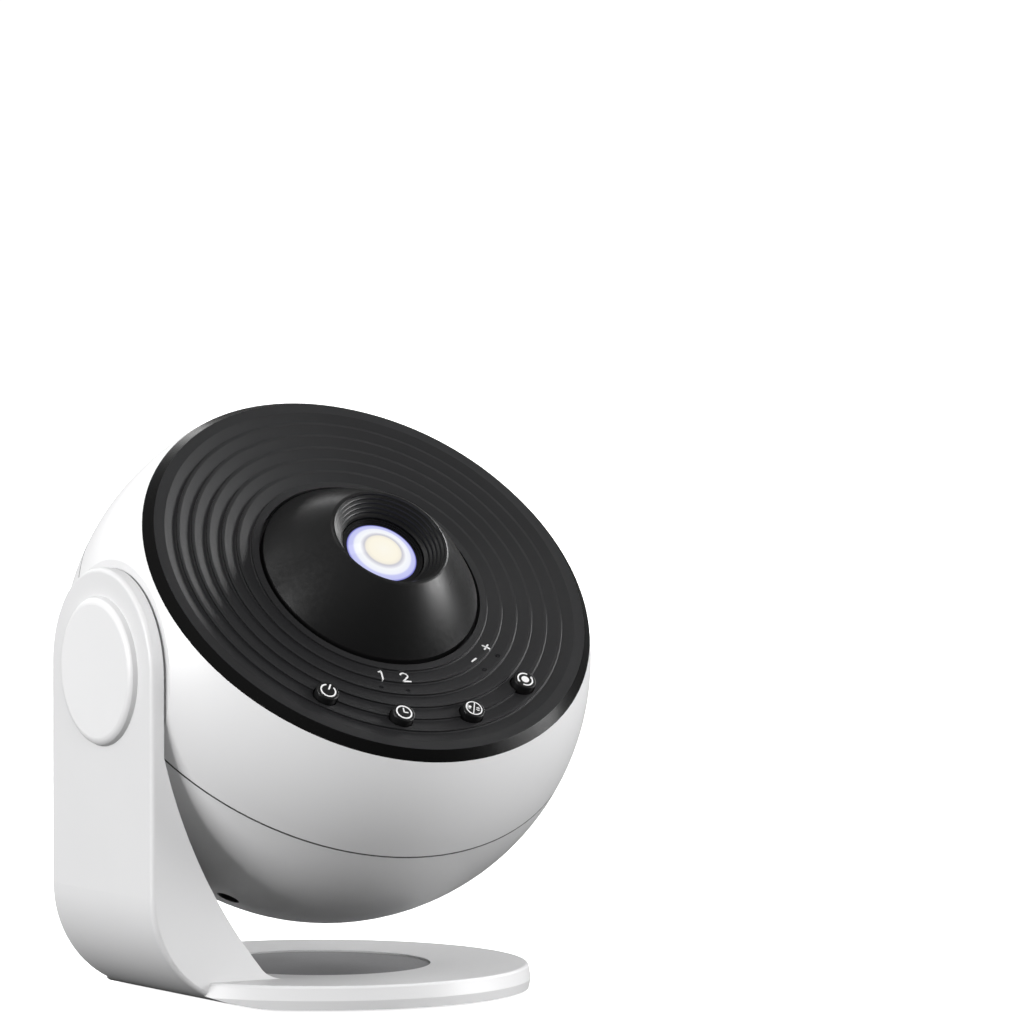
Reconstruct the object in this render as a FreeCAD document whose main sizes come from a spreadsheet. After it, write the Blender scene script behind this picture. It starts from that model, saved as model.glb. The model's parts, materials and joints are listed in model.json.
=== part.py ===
import FreeCAD, Part
import Sketcher

import math
import os
import re

# Planetarium projector: a ball with a black ringed face, carried by one arm on a round base.
# Millimetres, +Z up. The origin is on the standing surface, straight below the ball's centre.
# The arm is on the -X side, and the face looks towards -Y and up.
# Head pieces are drawn with the ball's centre at zero and the face's axis along +Z, then tilted.
# Pivot pieces are drawn with the pivot's outward direction along +Z.

SIZES = {
    # ball and face
    "ball_radius": 67.5,
    "shell_wall": 2.2,
    "face_elevation": 45.8,
    "pivot_height": 84.6,
    "bevel_width": 2.4,
    "panel_thickness": 2.4,
    "seam_offset": 1.0,
    "seam_gap": 0.24,
    "tongue_height": 2.0,
    "part_gap": 0.3,
    "skirt_depth": 1.8,
    "skirt_wall": 1.6,
    "skirt_clearance": 0.25,
    # rings on the face
    "groove_width": 3.3,
    "groove_foot": 0.35,
    "groove_depth": 0.7,
    # arm
    "arm_thickness": 3.6,
    "arm_width": 52.2,
    "arm_edge": 1.2,
    "ball_clearance": 1.0,
    "flat_clearance": 0.6,
    "bend_radius": 28.0,
    "scoop_start": 20.0,
    "scoop_radius": 137.0,
    "scoop_foot": 31.4,
    "foot_fillet": 3.0,
    "arm_wall": 2.6,
    # base
    "foot_height": 0.6,
    "base_height": 6.2,
    "base_radius": 53.6,
    "base_shift": 2.2,
    "base_edge": 0.9,
    "base_draft": 0.5,
    "base_wall": 2.2,
    "base_side_wall": 2.6,
    "underside_trim": 1.6,
    "recess_radius": 28.5,
    "recess_depth": 1.0,
    "recess_pad_thickness": 0.6,
    "fit_gap": 0.2,
    "cover_thickness": 1.8,
    "non_slip_recess": 0.4,
    "non_slip_inset": 7.6,
    "non_slip_margin": 2.0,
    "weight_thickness": 2.0,
    "weight_margin": 3.0,
    "base_boss_radius": 3.0,
    "base_boss_inset": 13.6,
    "base_screw_radius": 1.25,
    "base_screw_head": 2.5,
    # pivot
    "hub_radius": 8.0,
    "running_fit": 0.08,
    "hub_flange_radius": 15.0,
    "hub_flange_thickness": 3.0,
    "pivot_recess_radius": 17.8,
    "pivot_recess_depth": 1.6,
    "spring_thickness": 0.5,
    "spring_radius": 11.0,
    "retainer_thickness": 1.0,
    "retainer_radius": 12.0,
    "pivot_screw_radius": 1.6,
    "pivot_screw_head": 3.4,
    "pivot_screw_height": 0.8,
    "cap_radius": 19.1,
    "cap_face_radius": 16.9,
    "cap_height": 2.0,
    "cap_wall": 1.0,
    "washer_radius": 15.0,
    "washer_bore": 9.0,
    "hub_screw_circle": 12.0,
    "hub_screw_radius": 1.1,
    "hub_screw_head": 2.0,
    # dome and lens
    "dome_wall": 2.2,
    "dome_flange_thickness": 1.6,
    "flange_clearance": 0.4,
    "funnel_step_rise": 0.12,
    "sleeve_wall": 2.0,
    "barrel_fit": 0.1,
    "lens_fit": 0.05,
    "key_width": 2.0,
    "key_height": 2.0,
    # film drive
    "gear_teeth": 66,
    "pinion_teeth": 12,
    "gear_thickness": 2.6,
    "carrier_hub_depth": 3.6,
    "carrier_fit": 0.1,
    "film_thickness": 0.8,
    "film_pocket": 1.0,
    "motor_flange": 1.2,
    "motor_flange_lip": 1.8,
    "shaft_radius": 1.0,
    # housing
    "housing_wall": 1.6,
    "housing_floor_thickness": 1.6,
    "housing_shelf_thickness": 1.4,
    "lug_radius": 3.2,
    "lug_height": 3.8,
    "guide_thickness": 1.4,
    "guide_clearance": 1.3,
    "guide_travel": 2.0,
    "guide_fork_height": 5.6,
    "guide_fork_depth": 3.6,
    # light engine
    "sink_base": 3.0,
    "fin_thickness": 1.2,
    "sink_post_radius": 2.5,
    "led_board_thickness": 1.2,
    "emitter_width": 4.6,
    "emitter_height": 0.8,
    # buttons
    "button_pitch": 24.5,
    "button_radius": 3.0,
    "button_height": 2.0,
    "button_inset": 5.0,
    "button_clearance": 0.3,
    "button_edge": 0.4,
    "button_flange_radius": 4.2,
    "button_flange": 0.8,
    "nub_radius": 1.5,
    "nub_length": 1.4,
    "board_thickness": 1.6,
    "board_clearance": 1.0,
    "board_depth": 3.6,
    "button_board_span": 98.0,
    "switch_width": 6.0,
    "switch_height": 1.6,
    "indicator_spread": 5.4,
    "indicator_radius": 0.55,
    "indicator_clearance": 0.1,
    "indicator_sink": 0.15,
    "indicator_body": 1.4,
    # rear electronics
    "board_post_radius": 3.0,
    "port_azimuth": -125.3,
    "port_polar": 124.5,
    "port_radius": 2.6,
    "socket_radius": 4.0,
    "socket_length": 10.0,
    "socket_sink": 1.4,
    "socket_bore_depth": 8.0,
    "socket_pin": 0.65,
    # fasteners
    "shell_post_radius": 3.6,
    "shell_post_height": 13.0,
    "rib_width": 1.6,
    "shell_screw_radius": 1.2,
    "shell_screw_head": 2.4,
    "shell_screw_seat": 7.0,
    "ledge_thickness": 2.0,
    "panel_boss_radius": 2.4,
    "boss_clearance": 0.28,
    "ledge_lip": 2.2,
    "small_screw_radius": 0.9,
    "small_screw_head": 1.8,
    "small_head_height": 1.1,
    "screw_fit": 0.1,
}

# Lengths that keep their share of the ball, in hundredths of its radius.
SHARES = {
    # ball and face
    "flat_offset": 90.963,
    "rim_offset": 44.059,
    "face_offset": 47.407,
    # rings on the face
    "ring_outer": 77.111,
    "ring_pitch": 6.0,
    # dome and lens
    "dome_opening": 44.296,
    "dome_radius": 42.815,
    "dome_shoulder": 48.148,
    "dome_curve": 148.148,
    "dome_height": 69.037,
    "dome_flange_radius": 47.407,
    "funnel_rim": 22.074,
    "funnel_foot": 62.074,
    "barrel_radius": 16.296,
    "barrel_front": 61.333,
    "lens_radius": 13.926,
    "lens_seat": 55.407,
    "lens_edge": 60.148,
    "lens_curve": 38.519,
    "rear_lens_depth": 7.407,
    "lens_stop_radius": 12.444,
    "key_reach": 18.815,
    # film drive
    "gear_module": 1.185,
    "carrier_hub_radius": 34.074,
    "carrier_bore": 30.37,
    "film_radius": 34.815,
    "motor_radius": 8.741,
    "motor_length": 17.778,
    "motor_seat": 13.333,
    # housing
    "housing_radius": 44.741,
    "housing_floor": 7.407,
    "housing_shelf": 16.296,
    "top_ring_bore": 36.296,
    "top_ring_radius": 48.889,
    "lug_circle": 54.074,
    "guide_bore": 19.111,
    # light engine
    "condenser_radius": 13.333,
    "condenser_back": 5.63,
    "condenser_curve": 22.222,
    "sink_radius": 29.63,
    "sink_top": 1.481,
    "sink_depth": 22.222,
    "fin_pitch": 6.519,
    "sink_post_circle": 24.444,
    "led_board_radius": 16.296,
    # buttons
    "board_boss_circle": 62.2,
    "button_board_inner": 53.333,
    "indicator_circle": 56.889,
    # rear electronics
    "main_board_radius": 50.37,
    "main_board_top": -36.148,
    "board_post_circle": 44.444,
    # fasteners
    "shell_post_circle": 65.185,
}

# Lengths that follow from the sizes, each written once.
LENGTHS = {
    "far_reach": "ball_radius * 4",
    "tilt_angle": "90 - face_elevation",
    "inner_radius": "ball_radius - shell_wall",
    "flat_radius": "sqrt(ball_radius^2 - flat_offset^2)",
    "rim_radius": "sqrt(ball_radius^2 - rim_offset^2)",
    "panel_back": "face_offset - panel_thickness",
    "skirt_outer": "sqrt(inner_radius^2 - rim_offset^2) - skirt_clearance",
    "ledge_top": "rim_offset - skirt_depth - part_gap",
    "ledge_inner": "panel_boss_circle - ledge_lip",
    "panel_boss_circle": "skirt_outer - panel_boss_radius - boss_clearance",
    "arm_inner": "flat_offset + flat_clearance",
    "arm_outer": "arm_inner + arm_thickness",
    "plate_top": "foot_height + base_height",
    "cavity_top": "plate_top - base_wall",
    "weight_radius": "base_radius - base_side_wall - weight_margin",
    "non_slip_radius": "base_radius - non_slip_inset",
    "base_boss_circle": "base_radius - base_boss_inset",
    "recess_floor": "arm_outer - pivot_recess_depth",
    "hub_end": "recess_floor + spring_thickness + 0.1",
    "dome_flange_seat": "panel_back - dome_flange_thickness - flange_clearance",
    "housing_top": "dome_flange_seat - part_gap",
    "gear_floor": "housing_shelf + housing_shelf_thickness + part_gap",
    "guide_floor": "gear_floor + gear_thickness + guide_clearance",
    "guide_top": "guide_floor + guide_thickness",
    "barrel_back": "guide_top + guide_travel",
    "barrel_bore": "barrel_radius + barrel_fit",
    "sleeve_foot": "guide_top + guide_fork_height + flange_clearance",
    "motor_reach": "gear_module * (gear_teeth + pinion_teeth) / 2",
    "motor_screw_reach": "motor_radius + small_screw_head * 0.7 + 0.04",
    "motor_flange_radius": "motor_screw_reach + motor_flange_lip",
    "button_circle": "ledge_inner - button_inset",
    "button_board_top": "panel_back - board_depth",
    "button_board_outer": "ledge_inner - board_clearance",
    "switch_top": "button_board_top + switch_height",
    "flange_top": "panel_back - part_gap",
    "nub_end": "flange_top - button_flange - nub_length",
}

doc = FreeCAD.newDocument("planetarium_projector")
sheet = doc.addObject("Spreadsheet::Sheet", "Sizes")
for row, (alias, number) in enumerate({**SIZES, **SHARES}.items(), 1):
    sheet.set(f"A{row}", alias)
    sheet.set(f"B{row}", str(number))
    sheet.setAlias(f"B{row}", alias)
scratch = doc.addObject("Spreadsheet::Sheet", "Scratch")
doc.recompute()

NAMES = re.compile(r"\b(" + "|".join(sorted({**SIZES, **SHARES, **LENGTHS}, key=len, reverse=True)) + r")\b")
BUTTONS = {
    "power_button": "-90 - 1.5 * button_pitch",
    "timer_button": "-90 - 0.5 * button_pitch",
    "speed_button": "-90 + 0.5 * button_pitch",
    "rotation_button": "-90 + 1.5 * button_pitch",
}
SHELL_POST_ANGLES = (40, 140, 220, 320)
PANEL_BOSS_ANGLES = (0, 65, 115, 180, 250, 290)
LUG_ANGLES = (90, 210, 330)
SINK_POST_ANGLES = (30, 150, 270)
BOARD_POST_ANGLES = (45, 135, 225, 315)
HUB_SCREW_ANGLES = (45, 135, 225, 315)
BASE_BOSS_ANGLES = (0, 120, 240)
BOARD_BOSS_ANGLES = (-135, -90, -44.5)

finished = []


# Helpers: numbers, bound primitives, booleans and profiles


def value(expression):
    """The number that an expression over the sheet's names gives."""
    scratch.set("A1", "=" + bound(expression))
    scratch.recompute()
    return float(scratch.get("A1"))


def bound(expression):
    """The same expression over the sheet's cells: shares and following lengths are spelled out."""
    return NAMES.sub(spelled, expression)


def spelled(found):
    """What one name stands for, over the sheet's cells."""
    name = found.group(1)
    if name in LENGTHS:
        return f"({bound(LENGTHS[name])})"
    if name in SHARES:
        return f"(Sizes.{name} * Sizes.ball_radius / 100)"
    return f"Sizes.{name}"


def tie(item, **expressions):
    """Bind an object's properties to the sheet."""
    for name, expression in expressions.items():
        item.setExpression(name, bound(expression))
    return item


def put(item, x="0", y="0", z="0", axis=None, angle=0):
    """Give an object its position, bound to the sheet, and an optional turn about an axis."""
    if axis:
        item.Placement = FreeCAD.Placement(FreeCAD.Vector(), FreeCAD.Rotation(FreeCAD.Vector(*axis), angle))
    for name, expression in (("x", x), ("y", y), ("z", z)):
        if expression != "0":
            item.setExpression(f"Placement.Base.{name}", bound(expression))
    return item


def cylinder(radius, low, high, x="0", y="0"):
    """An upright cylinder between two heights."""
    item = tie(doc.addObject("Part::Cylinder", "cylinder"), Radius=radius, Height=f"({high}) - ({low})")
    return put(item, x, y, low)


def cone(low_radius, high_radius, low, high, x="0", y="0"):
    """An upright cone frustum between two heights."""
    item = doc.addObject("Part::Cone", "cone")
    tie(item, Radius1=low_radius, Radius2=high_radius, Height=f"({high}) - ({low})")
    return put(item, x, y, low)


def sphere(radius):
    """A ball round the origin."""
    return tie(doc.addObject("Part::Sphere", "sphere"), Radius=radius)


def box(x, y, z):
    """A box between pairs of limits along each axis."""
    item = doc.addObject("Part::Box", "box")
    sides = [f"({high}) - ({low})" for low, high in (x, y, z)]
    tie(item, Length=sides[0], Width=sides[1], Height=sides[2])
    return put(item, x[0], y[0], z[0])


def fuse(*items):
    """One solid, or a group of separate solids, from several."""
    joined = doc.addObject("Part::MultiFuse", "fuse")
    joined.Shapes = list(items)
    return joined


def cut(base, *tools):
    """The base without the tools."""
    result = doc.addObject("Part::Cut", "cut")
    result.Base = base
    result.Tool = tools[0] if len(tools) == 1 else fuse(*tools)
    return result


def group(*items):
    """Positioned items held together, so that the group takes the sub-part's own placement."""
    held = doc.addObject("Part::Compound", "group")
    held.Links = list(items)
    return held


def common(*items):
    """What all the items share."""
    result = doc.addObject("Part::MultiCommon", "common")
    result.Shapes = list(items)
    return result


def polar(radius, angle):
    """Cartesian expressions for a point at a radius and an angle in degrees."""
    return f"({radius}) * cos({angle})", f"({radius}) * sin({angle})"


def ring_of(angles, circle, make):
    """The pieces that make(x, y) gives at each angle of a circle."""
    return [make(*polar(circle, angle)) for angle in angles]


def draw(sketch, corners):
    """Close lines and arcs through corners (x, y) or (x, y, radius, side): the arc leaves that corner."""
    points = [FreeCAD.Vector(value(corner[0]), value(corner[1]), 0) for corner in corners]
    ends = []
    for index, corner in enumerate(corners):
        start = points[index]
        stop = points[(index + 1) % len(points)]
        if len(corner) == 2:
            ends.append((sketch.addGeometry(Part.LineSegment(start, stop), False), 1, 2))
            continue
        chord = stop - start
        radius = value(corner[2])
        rise = radius - math.sqrt(radius ** 2 - chord.Length ** 2 / 4)
        left = FreeCAD.Vector(-chord.y, chord.x, 0).normalize()
        crown = start + chord * 0.5 + left * rise * corner[3]
        edge = sketch.addGeometry(Part.Arc(start, crown, stop), False)
        forward = (sketch.getPoint(edge, 1) - start).Length < (sketch.getPoint(edge, 2) - start).Length
        ends.append((edge, 1, 2) if forward else (edge, 2, 1))
        bind(sketch, Sketcher.Constraint("Radius", edge, radius), f"arc{index}", corner[2])
    for index, corner in enumerate(corners):
        edge, first, last = ends[index]
        before = ends[index - 1]
        sketch.addConstraint(Sketcher.Constraint("Coincident", before[0], before[2], edge, first))
        bind(sketch, Sketcher.Constraint("DistanceX", edge, first, points[index].x), f"x{index}", corner[0])
        bind(sketch, Sketcher.Constraint("DistanceY", edge, first, points[index].y), f"y{index}", corner[1])


def bind(sketch, constraint, name, expression):
    """Add a named constraint whose value follows the sheet."""
    sketch.renameConstraint(sketch.addConstraint(constraint), name)
    sketch.setExpression(f"Constraints.{name}", bound(expression))


def sketched_body(corners, role="XZ_Plane"):
    """A body with one closed sketch on an origin plane."""
    body = doc.addObject("PartDesign::Body", "body")
    sketch = body.newObject("Sketcher::SketchObject", "outline")
    plane = [item for item in body.Origin.OriginFeatures if item.Role == role][0]
    sketch.AttachmentSupport = [(plane, "")]
    sketch.MapMode = "FlatFace"
    draw(sketch, corners)
    return body, sketch


def lathe(*corners):
    """A turned body: corners are radius and height."""
    body, sketch = sketched_body(corners)
    turn = body.newObject("PartDesign::Revolution", "turned")
    turn.Profile = sketch
    turn.ReferenceAxis = (sketch, ["V_Axis"])
    turn.Angle = 360
    body.Tip = turn
    return body


def slab(length, *corners):
    """A body padded from the XZ plane, half of its length to each side."""
    body, sketch = sketched_body(corners)
    pad = body.newObject("PartDesign::Pad", "padded")
    pad.Profile = sketch
    tie(pad, Length=length)
    body.Tip = pad
    return put(body, y=f"({length}) / 2")


def rounded(base, radius, chosen):
    """Round the edges that chosen(edge) picks on the base."""
    doc.recompute()
    size = value(radius)
    item = doc.addObject("Part::Fillet", "rounded")
    item.Base = base
    item.Edges = [(number, size, size) for number, edge in enumerate(base.Shape.Edges, 1) if chosen(edge)]
    return item


def finish(item, label, frame="stand"):
    """Name a sub-part, and stand it in the object's frame."""
    spin = FreeCAD.Rotation()
    if frame in ("head", "head_pivot"):
        spin = FreeCAD.Rotation(FreeCAD.Vector(1, 0, 0), value("tilt_angle"))
    if frame in ("stand_pivot", "head_pivot"):
        spin = spin.multiply(FreeCAD.Rotation(FreeCAD.Vector(0, 1, 0), -90))
    if frame != "stand":
        item.Placement = FreeCAD.Placement(FreeCAD.Vector(), spin)
        item.setExpression("Placement.Base.z", bound("pivot_height"))
    item.Label = label
    doc.recompute()
    finished.append(item)
    print(label, len(item.Shape.Solids), round(item.Shape.Volume, 1))
    return item


def screw(radius, head_radius, head_height, seat, tip, x="0", y="0"):
    """A pan-head screw along Z: the head lies outside its seat, and the shank runs to the tip."""
    direction = 1 if value(tip) > value(seat) else -1
    top = f"({seat}) - ({direction}) * ({head_height})"
    low, high = (top, seat) if direction > 0 else (seat, top)
    shank_low, shank_high = (seat, tip) if direction > 0 else (tip, seat)
    return fuse(cylinder(head_radius, low, high, x, y), cylinder(radius, shank_low, shank_high, x, y))


# Stand


def arm_outline():
    """The arm and its bend, seen from the side: vertical outer face, bend, scooped inner face."""
    return (
        ("-arm_outer", "pivot_height + arm_width"),
        ("-arm_outer", "foot_height + bend_radius", "bend_radius", -1),
        ("bend_radius - arm_outer", "foot_height"),
        ("0", "foot_height"),
        ("0", "plate_top"),
        ("foot_fillet - scoop_foot", "plate_top", "foot_fillet * 2.7", 1),
        ("-scoop_foot - foot_fillet * 0.67", "plate_top + foot_fillet * 0.74", "scoop_radius", 1),
        ("-arm_inner", "pivot_height - scoop_start"),
        ("-arm_inner", "pivot_height + arm_width"),
    )


def arm_blank():
    """The arm with its round top, scooped clear of the ball, its outer edges rounded."""
    bar = slab("arm_width", *arm_outline())
    disc = tie(doc.addObject("Part::Cylinder", "arm_top"), Radius="arm_width / 2", Height="far_reach")
    put(disc, "-far_reach", "0", "pivot_height", axis=(0, 1, 0), angle=90)
    half = "arm_width / 2"
    strip = box(("-far_reach", "far_reach"), (f"-{half}", half), ("-far_reach", "pivot_height"))
    shaped = common(bar, fuse(disc, strip))
    outer = value("arm_outer")
    floor = value("foot_height")

    def on_back(edge):
        bounds = edge.BoundBox
        flat = abs(bounds.XMin + outer) < 0.01 and abs(bounds.XMax + outer) < 0.01
        bend = bounds.YLength < 0.01 and abs(bounds.XMin + outer) < 0.01 and abs(bounds.ZMin - floor) < 0.01
        across = bounds.YLength > 1 and bounds.ZLength < 0.01
        return (flat or bend) and not across

    ball = sphere("ball_radius + ball_clearance")
    put(ball, z="pivot_height")
    beyond = box(("-far_reach", "-arm_inner"), ("-far_reach", "far_reach"), ("-far_reach", "far_reach"))
    return cut(rounded(shaped, "arm_edge", on_back), cut(ball, beyond))


def base_disc():
    """The round base, with a soft upper edge and a slightly drafted rim, cut off by the arm's bend."""
    disc = lathe(
        ("0", "foot_height"),
        ("base_radius", "foot_height"),
        ("base_radius + base_draft", "foot_height + base_height * 0.4"),
        ("base_radius", "plate_top - base_edge", "base_edge", -1),
        ("base_radius - base_edge", "plate_top"),
        ("0", "plate_top"),
    )
    bend = slab(
        "base_radius * 3",
        ("-arm_outer", "foot_height + bend_radius", "bend_radius", -1),
        ("bend_radius - arm_outer", "foot_height"),
        ("base_radius * 2", "foot_height"),
        ("base_radius * 2", "foot_height + bend_radius"),
    )
    return common(put(disc, x="-base_shift"), bend)


def arm_hollow():
    """The hollow inside the thick part of the arm, open to the base's cavity."""
    width = "arm_width - 2 * arm_wall"
    outer = "arm_outer - arm_wall"
    start = "foot_height + bend_radius * 1.55"
    return slab(
        width,
        (f"-({outer})", start),
        (f"-({outer})", "foot_height + bend_radius", "bend_radius - arm_wall", -1),
        ("bend_radius - arm_outer", "foot_height + arm_wall"),
        ("2 - scoop_foot", "foot_height + arm_wall"),
        ("2 - scoop_foot", "cavity_top"),
        ("-scoop_foot - arm_wall * 2.2", "cavity_top"),
        (f"-({outer}) + arm_wall * 0.8", start),
    )


def trimmed(item, margin):
    """The part of an underside piece that stays clear of the arm's bend."""
    far = ("-far_reach", "far_reach")
    return common(item, box((f"bend_radius - arm_outer + underside_trim + {margin}", "far_reach"), far, far))


def base_bosses(radius, low, high):
    """A cylinder at each screw of the base cover."""
    return [
        cylinder(radius, low, high, f"({x}) - base_shift", y)
        for x, y in (polar("base_boss_circle", angle) for angle in BASE_BOSS_ANGLES)
    ]


def make_stand_shell():
    body = fuse(arm_blank(), base_disc())
    room = cylinder("base_radius - base_side_wall", "foot_height - 1", "cavity_top", "-base_shift")
    cavity = trimmed(room, "0")
    recess = cylinder("recess_radius", "plate_top - recess_depth", "plate_top + 1", "-base_shift")
    pivot_recess = put(lathe(
        ("0", "recess_floor"),
        ("pivot_recess_radius", "recess_floor"),
        ("pivot_recess_radius", "arm_outer + 1"),
        ("0", "arm_outer + 1"),
    ), z="pivot_height", axis=(0, 1, 0), angle=-90)
    hub_hole = put(lathe(
        ("0", "arm_inner - 1"),
        ("hub_radius + running_fit", "arm_inner - 1"),
        ("hub_radius + running_fit", "recess_floor + 1"),
        ("0", "recess_floor + 1"),
    ), z="pivot_height", axis=(0, 1, 0), angle=-90)
    hollow = cut(body, cavity, arm_hollow(), recess, pivot_recess, hub_hole)
    bosses = base_bosses("base_boss_radius", "foot_height + cover_thickness", "cavity_top + 0.5")
    pilots = base_bosses("base_screw_radius", "foot_height", "plate_top - 1.1")
    return finish(cut(fuse(hollow, *bosses), *pilots), "stand_shell")


def make_base_cover():
    top = "foot_height + cover_thickness"
    plate = cylinder("base_radius - base_side_wall - fit_gap", "foot_height", top, "-base_shift")
    recess = cylinder("non_slip_radius + fit_gap", "0", "foot_height + non_slip_recess", "-base_shift")
    floor = "foot_height + non_slip_recess"
    sinks = [
        cone("base_screw_head + screw_fit", "base_screw_radius + screw_fit", floor, top,
             f"({x}) - base_shift", y)
        for x, y in (polar("base_boss_circle", angle) for angle in BASE_BOSS_ANGLES)
    ]
    return finish(cut(trimmed(plate, "fit_gap"), trimmed(recess, "non_slip_margin"), *sinks), "base_cover")


def make_base_weight():
    low = "foot_height + cover_thickness"
    plate = cylinder("weight_radius", low, f"{low} + weight_thickness", "-base_shift")
    holes = base_bosses("base_boss_radius + fit_gap", low, f"{low} + weight_thickness")
    return finish(cut(trimmed(plate, "fit_gap * 2"), *holes), "base_weight")


def make_base_screws():
    floor = "foot_height + non_slip_recess"
    top = "foot_height + cover_thickness"
    pieces = []
    for angle in BASE_BOSS_ANGLES:
        x, y = polar("base_boss_circle", angle)
        shifted = f"({x}) - base_shift"
        head = cone("base_screw_head", "base_screw_radius", floor, top, shifted, y)
        pieces.append(fuse(head, cylinder("base_screw_radius", top, "plate_top - 1.3", shifted, y)))
    return finish(fuse(*pieces), "base_screws")


def make_pads():
    pad = cylinder("non_slip_radius", "0", "foot_height + non_slip_recess", "-base_shift")
    finish(trimmed(pad, "non_slip_margin + fit_gap"), "non_slip_pad")
    floor = "plate_top - recess_depth"
    inlay = lathe(
        ("0", floor),
        ("recess_radius - fit_gap", floor),
        ("recess_radius - fit_gap", f"{floor} + recess_pad_thickness"),
        ("0", f"{floor} + recess_pad_thickness"),
    )
    finish(put(inlay, x="-base_shift"), "recess_pad")


# Pivot, drawn with its outward direction along +Z


def disc_with_bore(bore, radius, low, high):
    """A flat ring between two heights."""
    return lathe((bore, low), (radius, low), (radius, high), (bore, high))


def make_pivot_cap():
    plug = "pivot_recess_radius - part_gap"
    cavity = "pivot_recess_radius - 2.4"
    ceiling = "arm_outer + cap_height - cap_wall"
    cap = lathe(
        (cavity, "arm_outer - 1.2"),
        (plug, "arm_outer - 1.2"),
        (plug, "arm_outer"),
        ("cap_radius", "arm_outer"),
        ("cap_radius - 0.5", "arm_outer + cap_height * 0.55", "2.6", -1),
        ("cap_face_radius", "arm_outer + cap_height"),
        ("0", "arm_outer + cap_height"),
        ("0", ceiling),
        (cavity, ceiling),
    )
    return finish(cap, "pivot_cap", "stand_pivot")


def make_pivot_rings():
    washer = disc_with_bore("washer_bore", "washer_radius", "flat_offset + 0.1", "arm_inner")
    finish(washer, "friction_washer", "stand_pivot")
    top = "recess_floor + spring_thickness"
    spring = disc_with_bore("hub_radius + part_gap", "spring_radius", "recess_floor", top)
    finish(spring, "pivot_spring", "stand_pivot")
    retainer = disc_with_bore("pivot_screw_radius + screw_fit", "retainer_radius",
                              "hub_end", "hub_end + retainer_thickness")
    finish(retainer, "pivot_retainer", "head_pivot")


def make_pivot_hub():
    wall_back = "flat_offset - shell_wall"
    inner = f"{wall_back} - hub_flange_thickness"
    hub = lathe(
        ("0", inner),
        ("hub_flange_radius", inner),
        ("hub_flange_radius", wall_back),
        ("hub_radius", wall_back),
        ("hub_radius", "hub_end"),
        ("pivot_screw_radius", "hub_end"),
        ("pivot_screw_radius", "hub_end - 7"),
        ("0", "hub_end - 7"),
    )
    holes = ring_of(HUB_SCREW_ANGLES, "hub_screw_circle", lambda x, y: cylinder(
        "hub_screw_radius + screw_fit", f"{inner} - 1", f"{wall_back} + 1", x, y))
    finish(cut(hub, *holes), "pivot_hub", "head_pivot")
    screws = ring_of(HUB_SCREW_ANGLES, "hub_screw_circle", lambda x, y: screw(
        "hub_screw_radius", "hub_screw_head", "small_head_height", inner, "flat_offset - 0.8", x, y))
    finish(fuse(*screws), "hub_screws", "head_pivot")
    middle = screw("pivot_screw_radius", "pivot_screw_head", "pivot_screw_height",
                   "hub_end + retainer_thickness", "hub_end - 6")
    finish(middle, "pivot_screw", "head_pivot")


# Ball


def ball_wall():
    """The hollow ball with its flat on the arm's side."""
    far = ("-far_reach", "far_reach")
    blank = cut(sphere("ball_radius"), box(("-far_reach", "-flat_offset"), far, far))
    cavity = cut(sphere("inner_radius"), box(("-far_reach", "-flat_offset + shell_wall"), far, far))
    return blank, cavity


def pivot_opening():
    """The hole in the flat that the hub's boss leaves through."""
    hole = lathe(
        ("0", "flat_offset - shell_wall - 1"),
        ("hub_radius + part_gap", "flat_offset - shell_wall - 1"),
        ("hub_radius + part_gap", "ball_radius"),
        ("0", "ball_radius"),
    )
    return put(hole, axis=(0, 1, 0), angle=-90)


def hub_pilots():
    """Blind holes for the hub's screws, from inside."""
    holes = ring_of(HUB_SCREW_ANGLES, "hub_screw_circle", lambda x, y: cylinder(
        "hub_screw_radius", "flat_offset - shell_wall - 1", "flat_offset - 0.7", x, y))
    return put(fuse(*holes), axis=(0, 1, 0), angle=-90)


def post_with_rib(low, high, angle):
    """A screw post and the rib that ties it to the wall."""
    post = cylinder("shell_post_radius", low, high, "shell_post_circle")
    rib = box(("shell_post_circle", "ball_radius"), ("-rib_width / 2", "rib_width / 2"), (low, high))
    return put(fuse(post, rib), axis=(0, 0, 1), angle=angle)


def make_front_shell():
    blank, cavity = ball_wall()
    low = "seam_offset + seam_gap / 2"
    zone = cylinder("far_reach", low, "rim_offset")
    wall = common(cut(blank, cavity), zone)
    inside = common(sphere("inner_radius + shell_wall / 2"), blank)
    ledge = disc_with_bore("ledge_inner", "ball_radius", "ledge_top - ledge_thickness", "ledge_top")
    posts = [post_with_rib(low, "seam_offset + shell_post_height", angle) for angle in SHELL_POST_ANGLES]
    fitted = common(fuse(ledge, *posts), inside)
    body = fuse(wall, fitted)
    tongue_room = common(
        sphere("inner_radius + shell_wall / 2 + 0.05"),
        cylinder("far_reach", "seam_offset - 1", "seam_offset + tongue_height + part_gap"),
    )
    seat = common(tongue_room, box(
        ("-flat_offset + shell_wall + 0.1", "far_reach"),
        ("-far_reach", "far_reach"),
        ("-far_reach", "far_reach")))
    hollow = cut(seat, sphere("inner_radius - 0.01"))
    pilots = ring_of(SHELL_POST_ANGLES, "shell_post_circle", lambda x, y: cylinder(
        "shell_screw_radius", "0", "seam_offset + 12", x, y))
    holes = ring_of(PANEL_BOSS_ANGLES, "panel_boss_circle", lambda x, y: cylinder(
        "small_screw_radius + screw_fit", "ledge_top - ledge_thickness - 1", "rim_offset", x, y))
    finish(cut(body, hollow, pivot_opening(), hub_pilots(), *pilots, *holes), "front_shell", "head")


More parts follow.
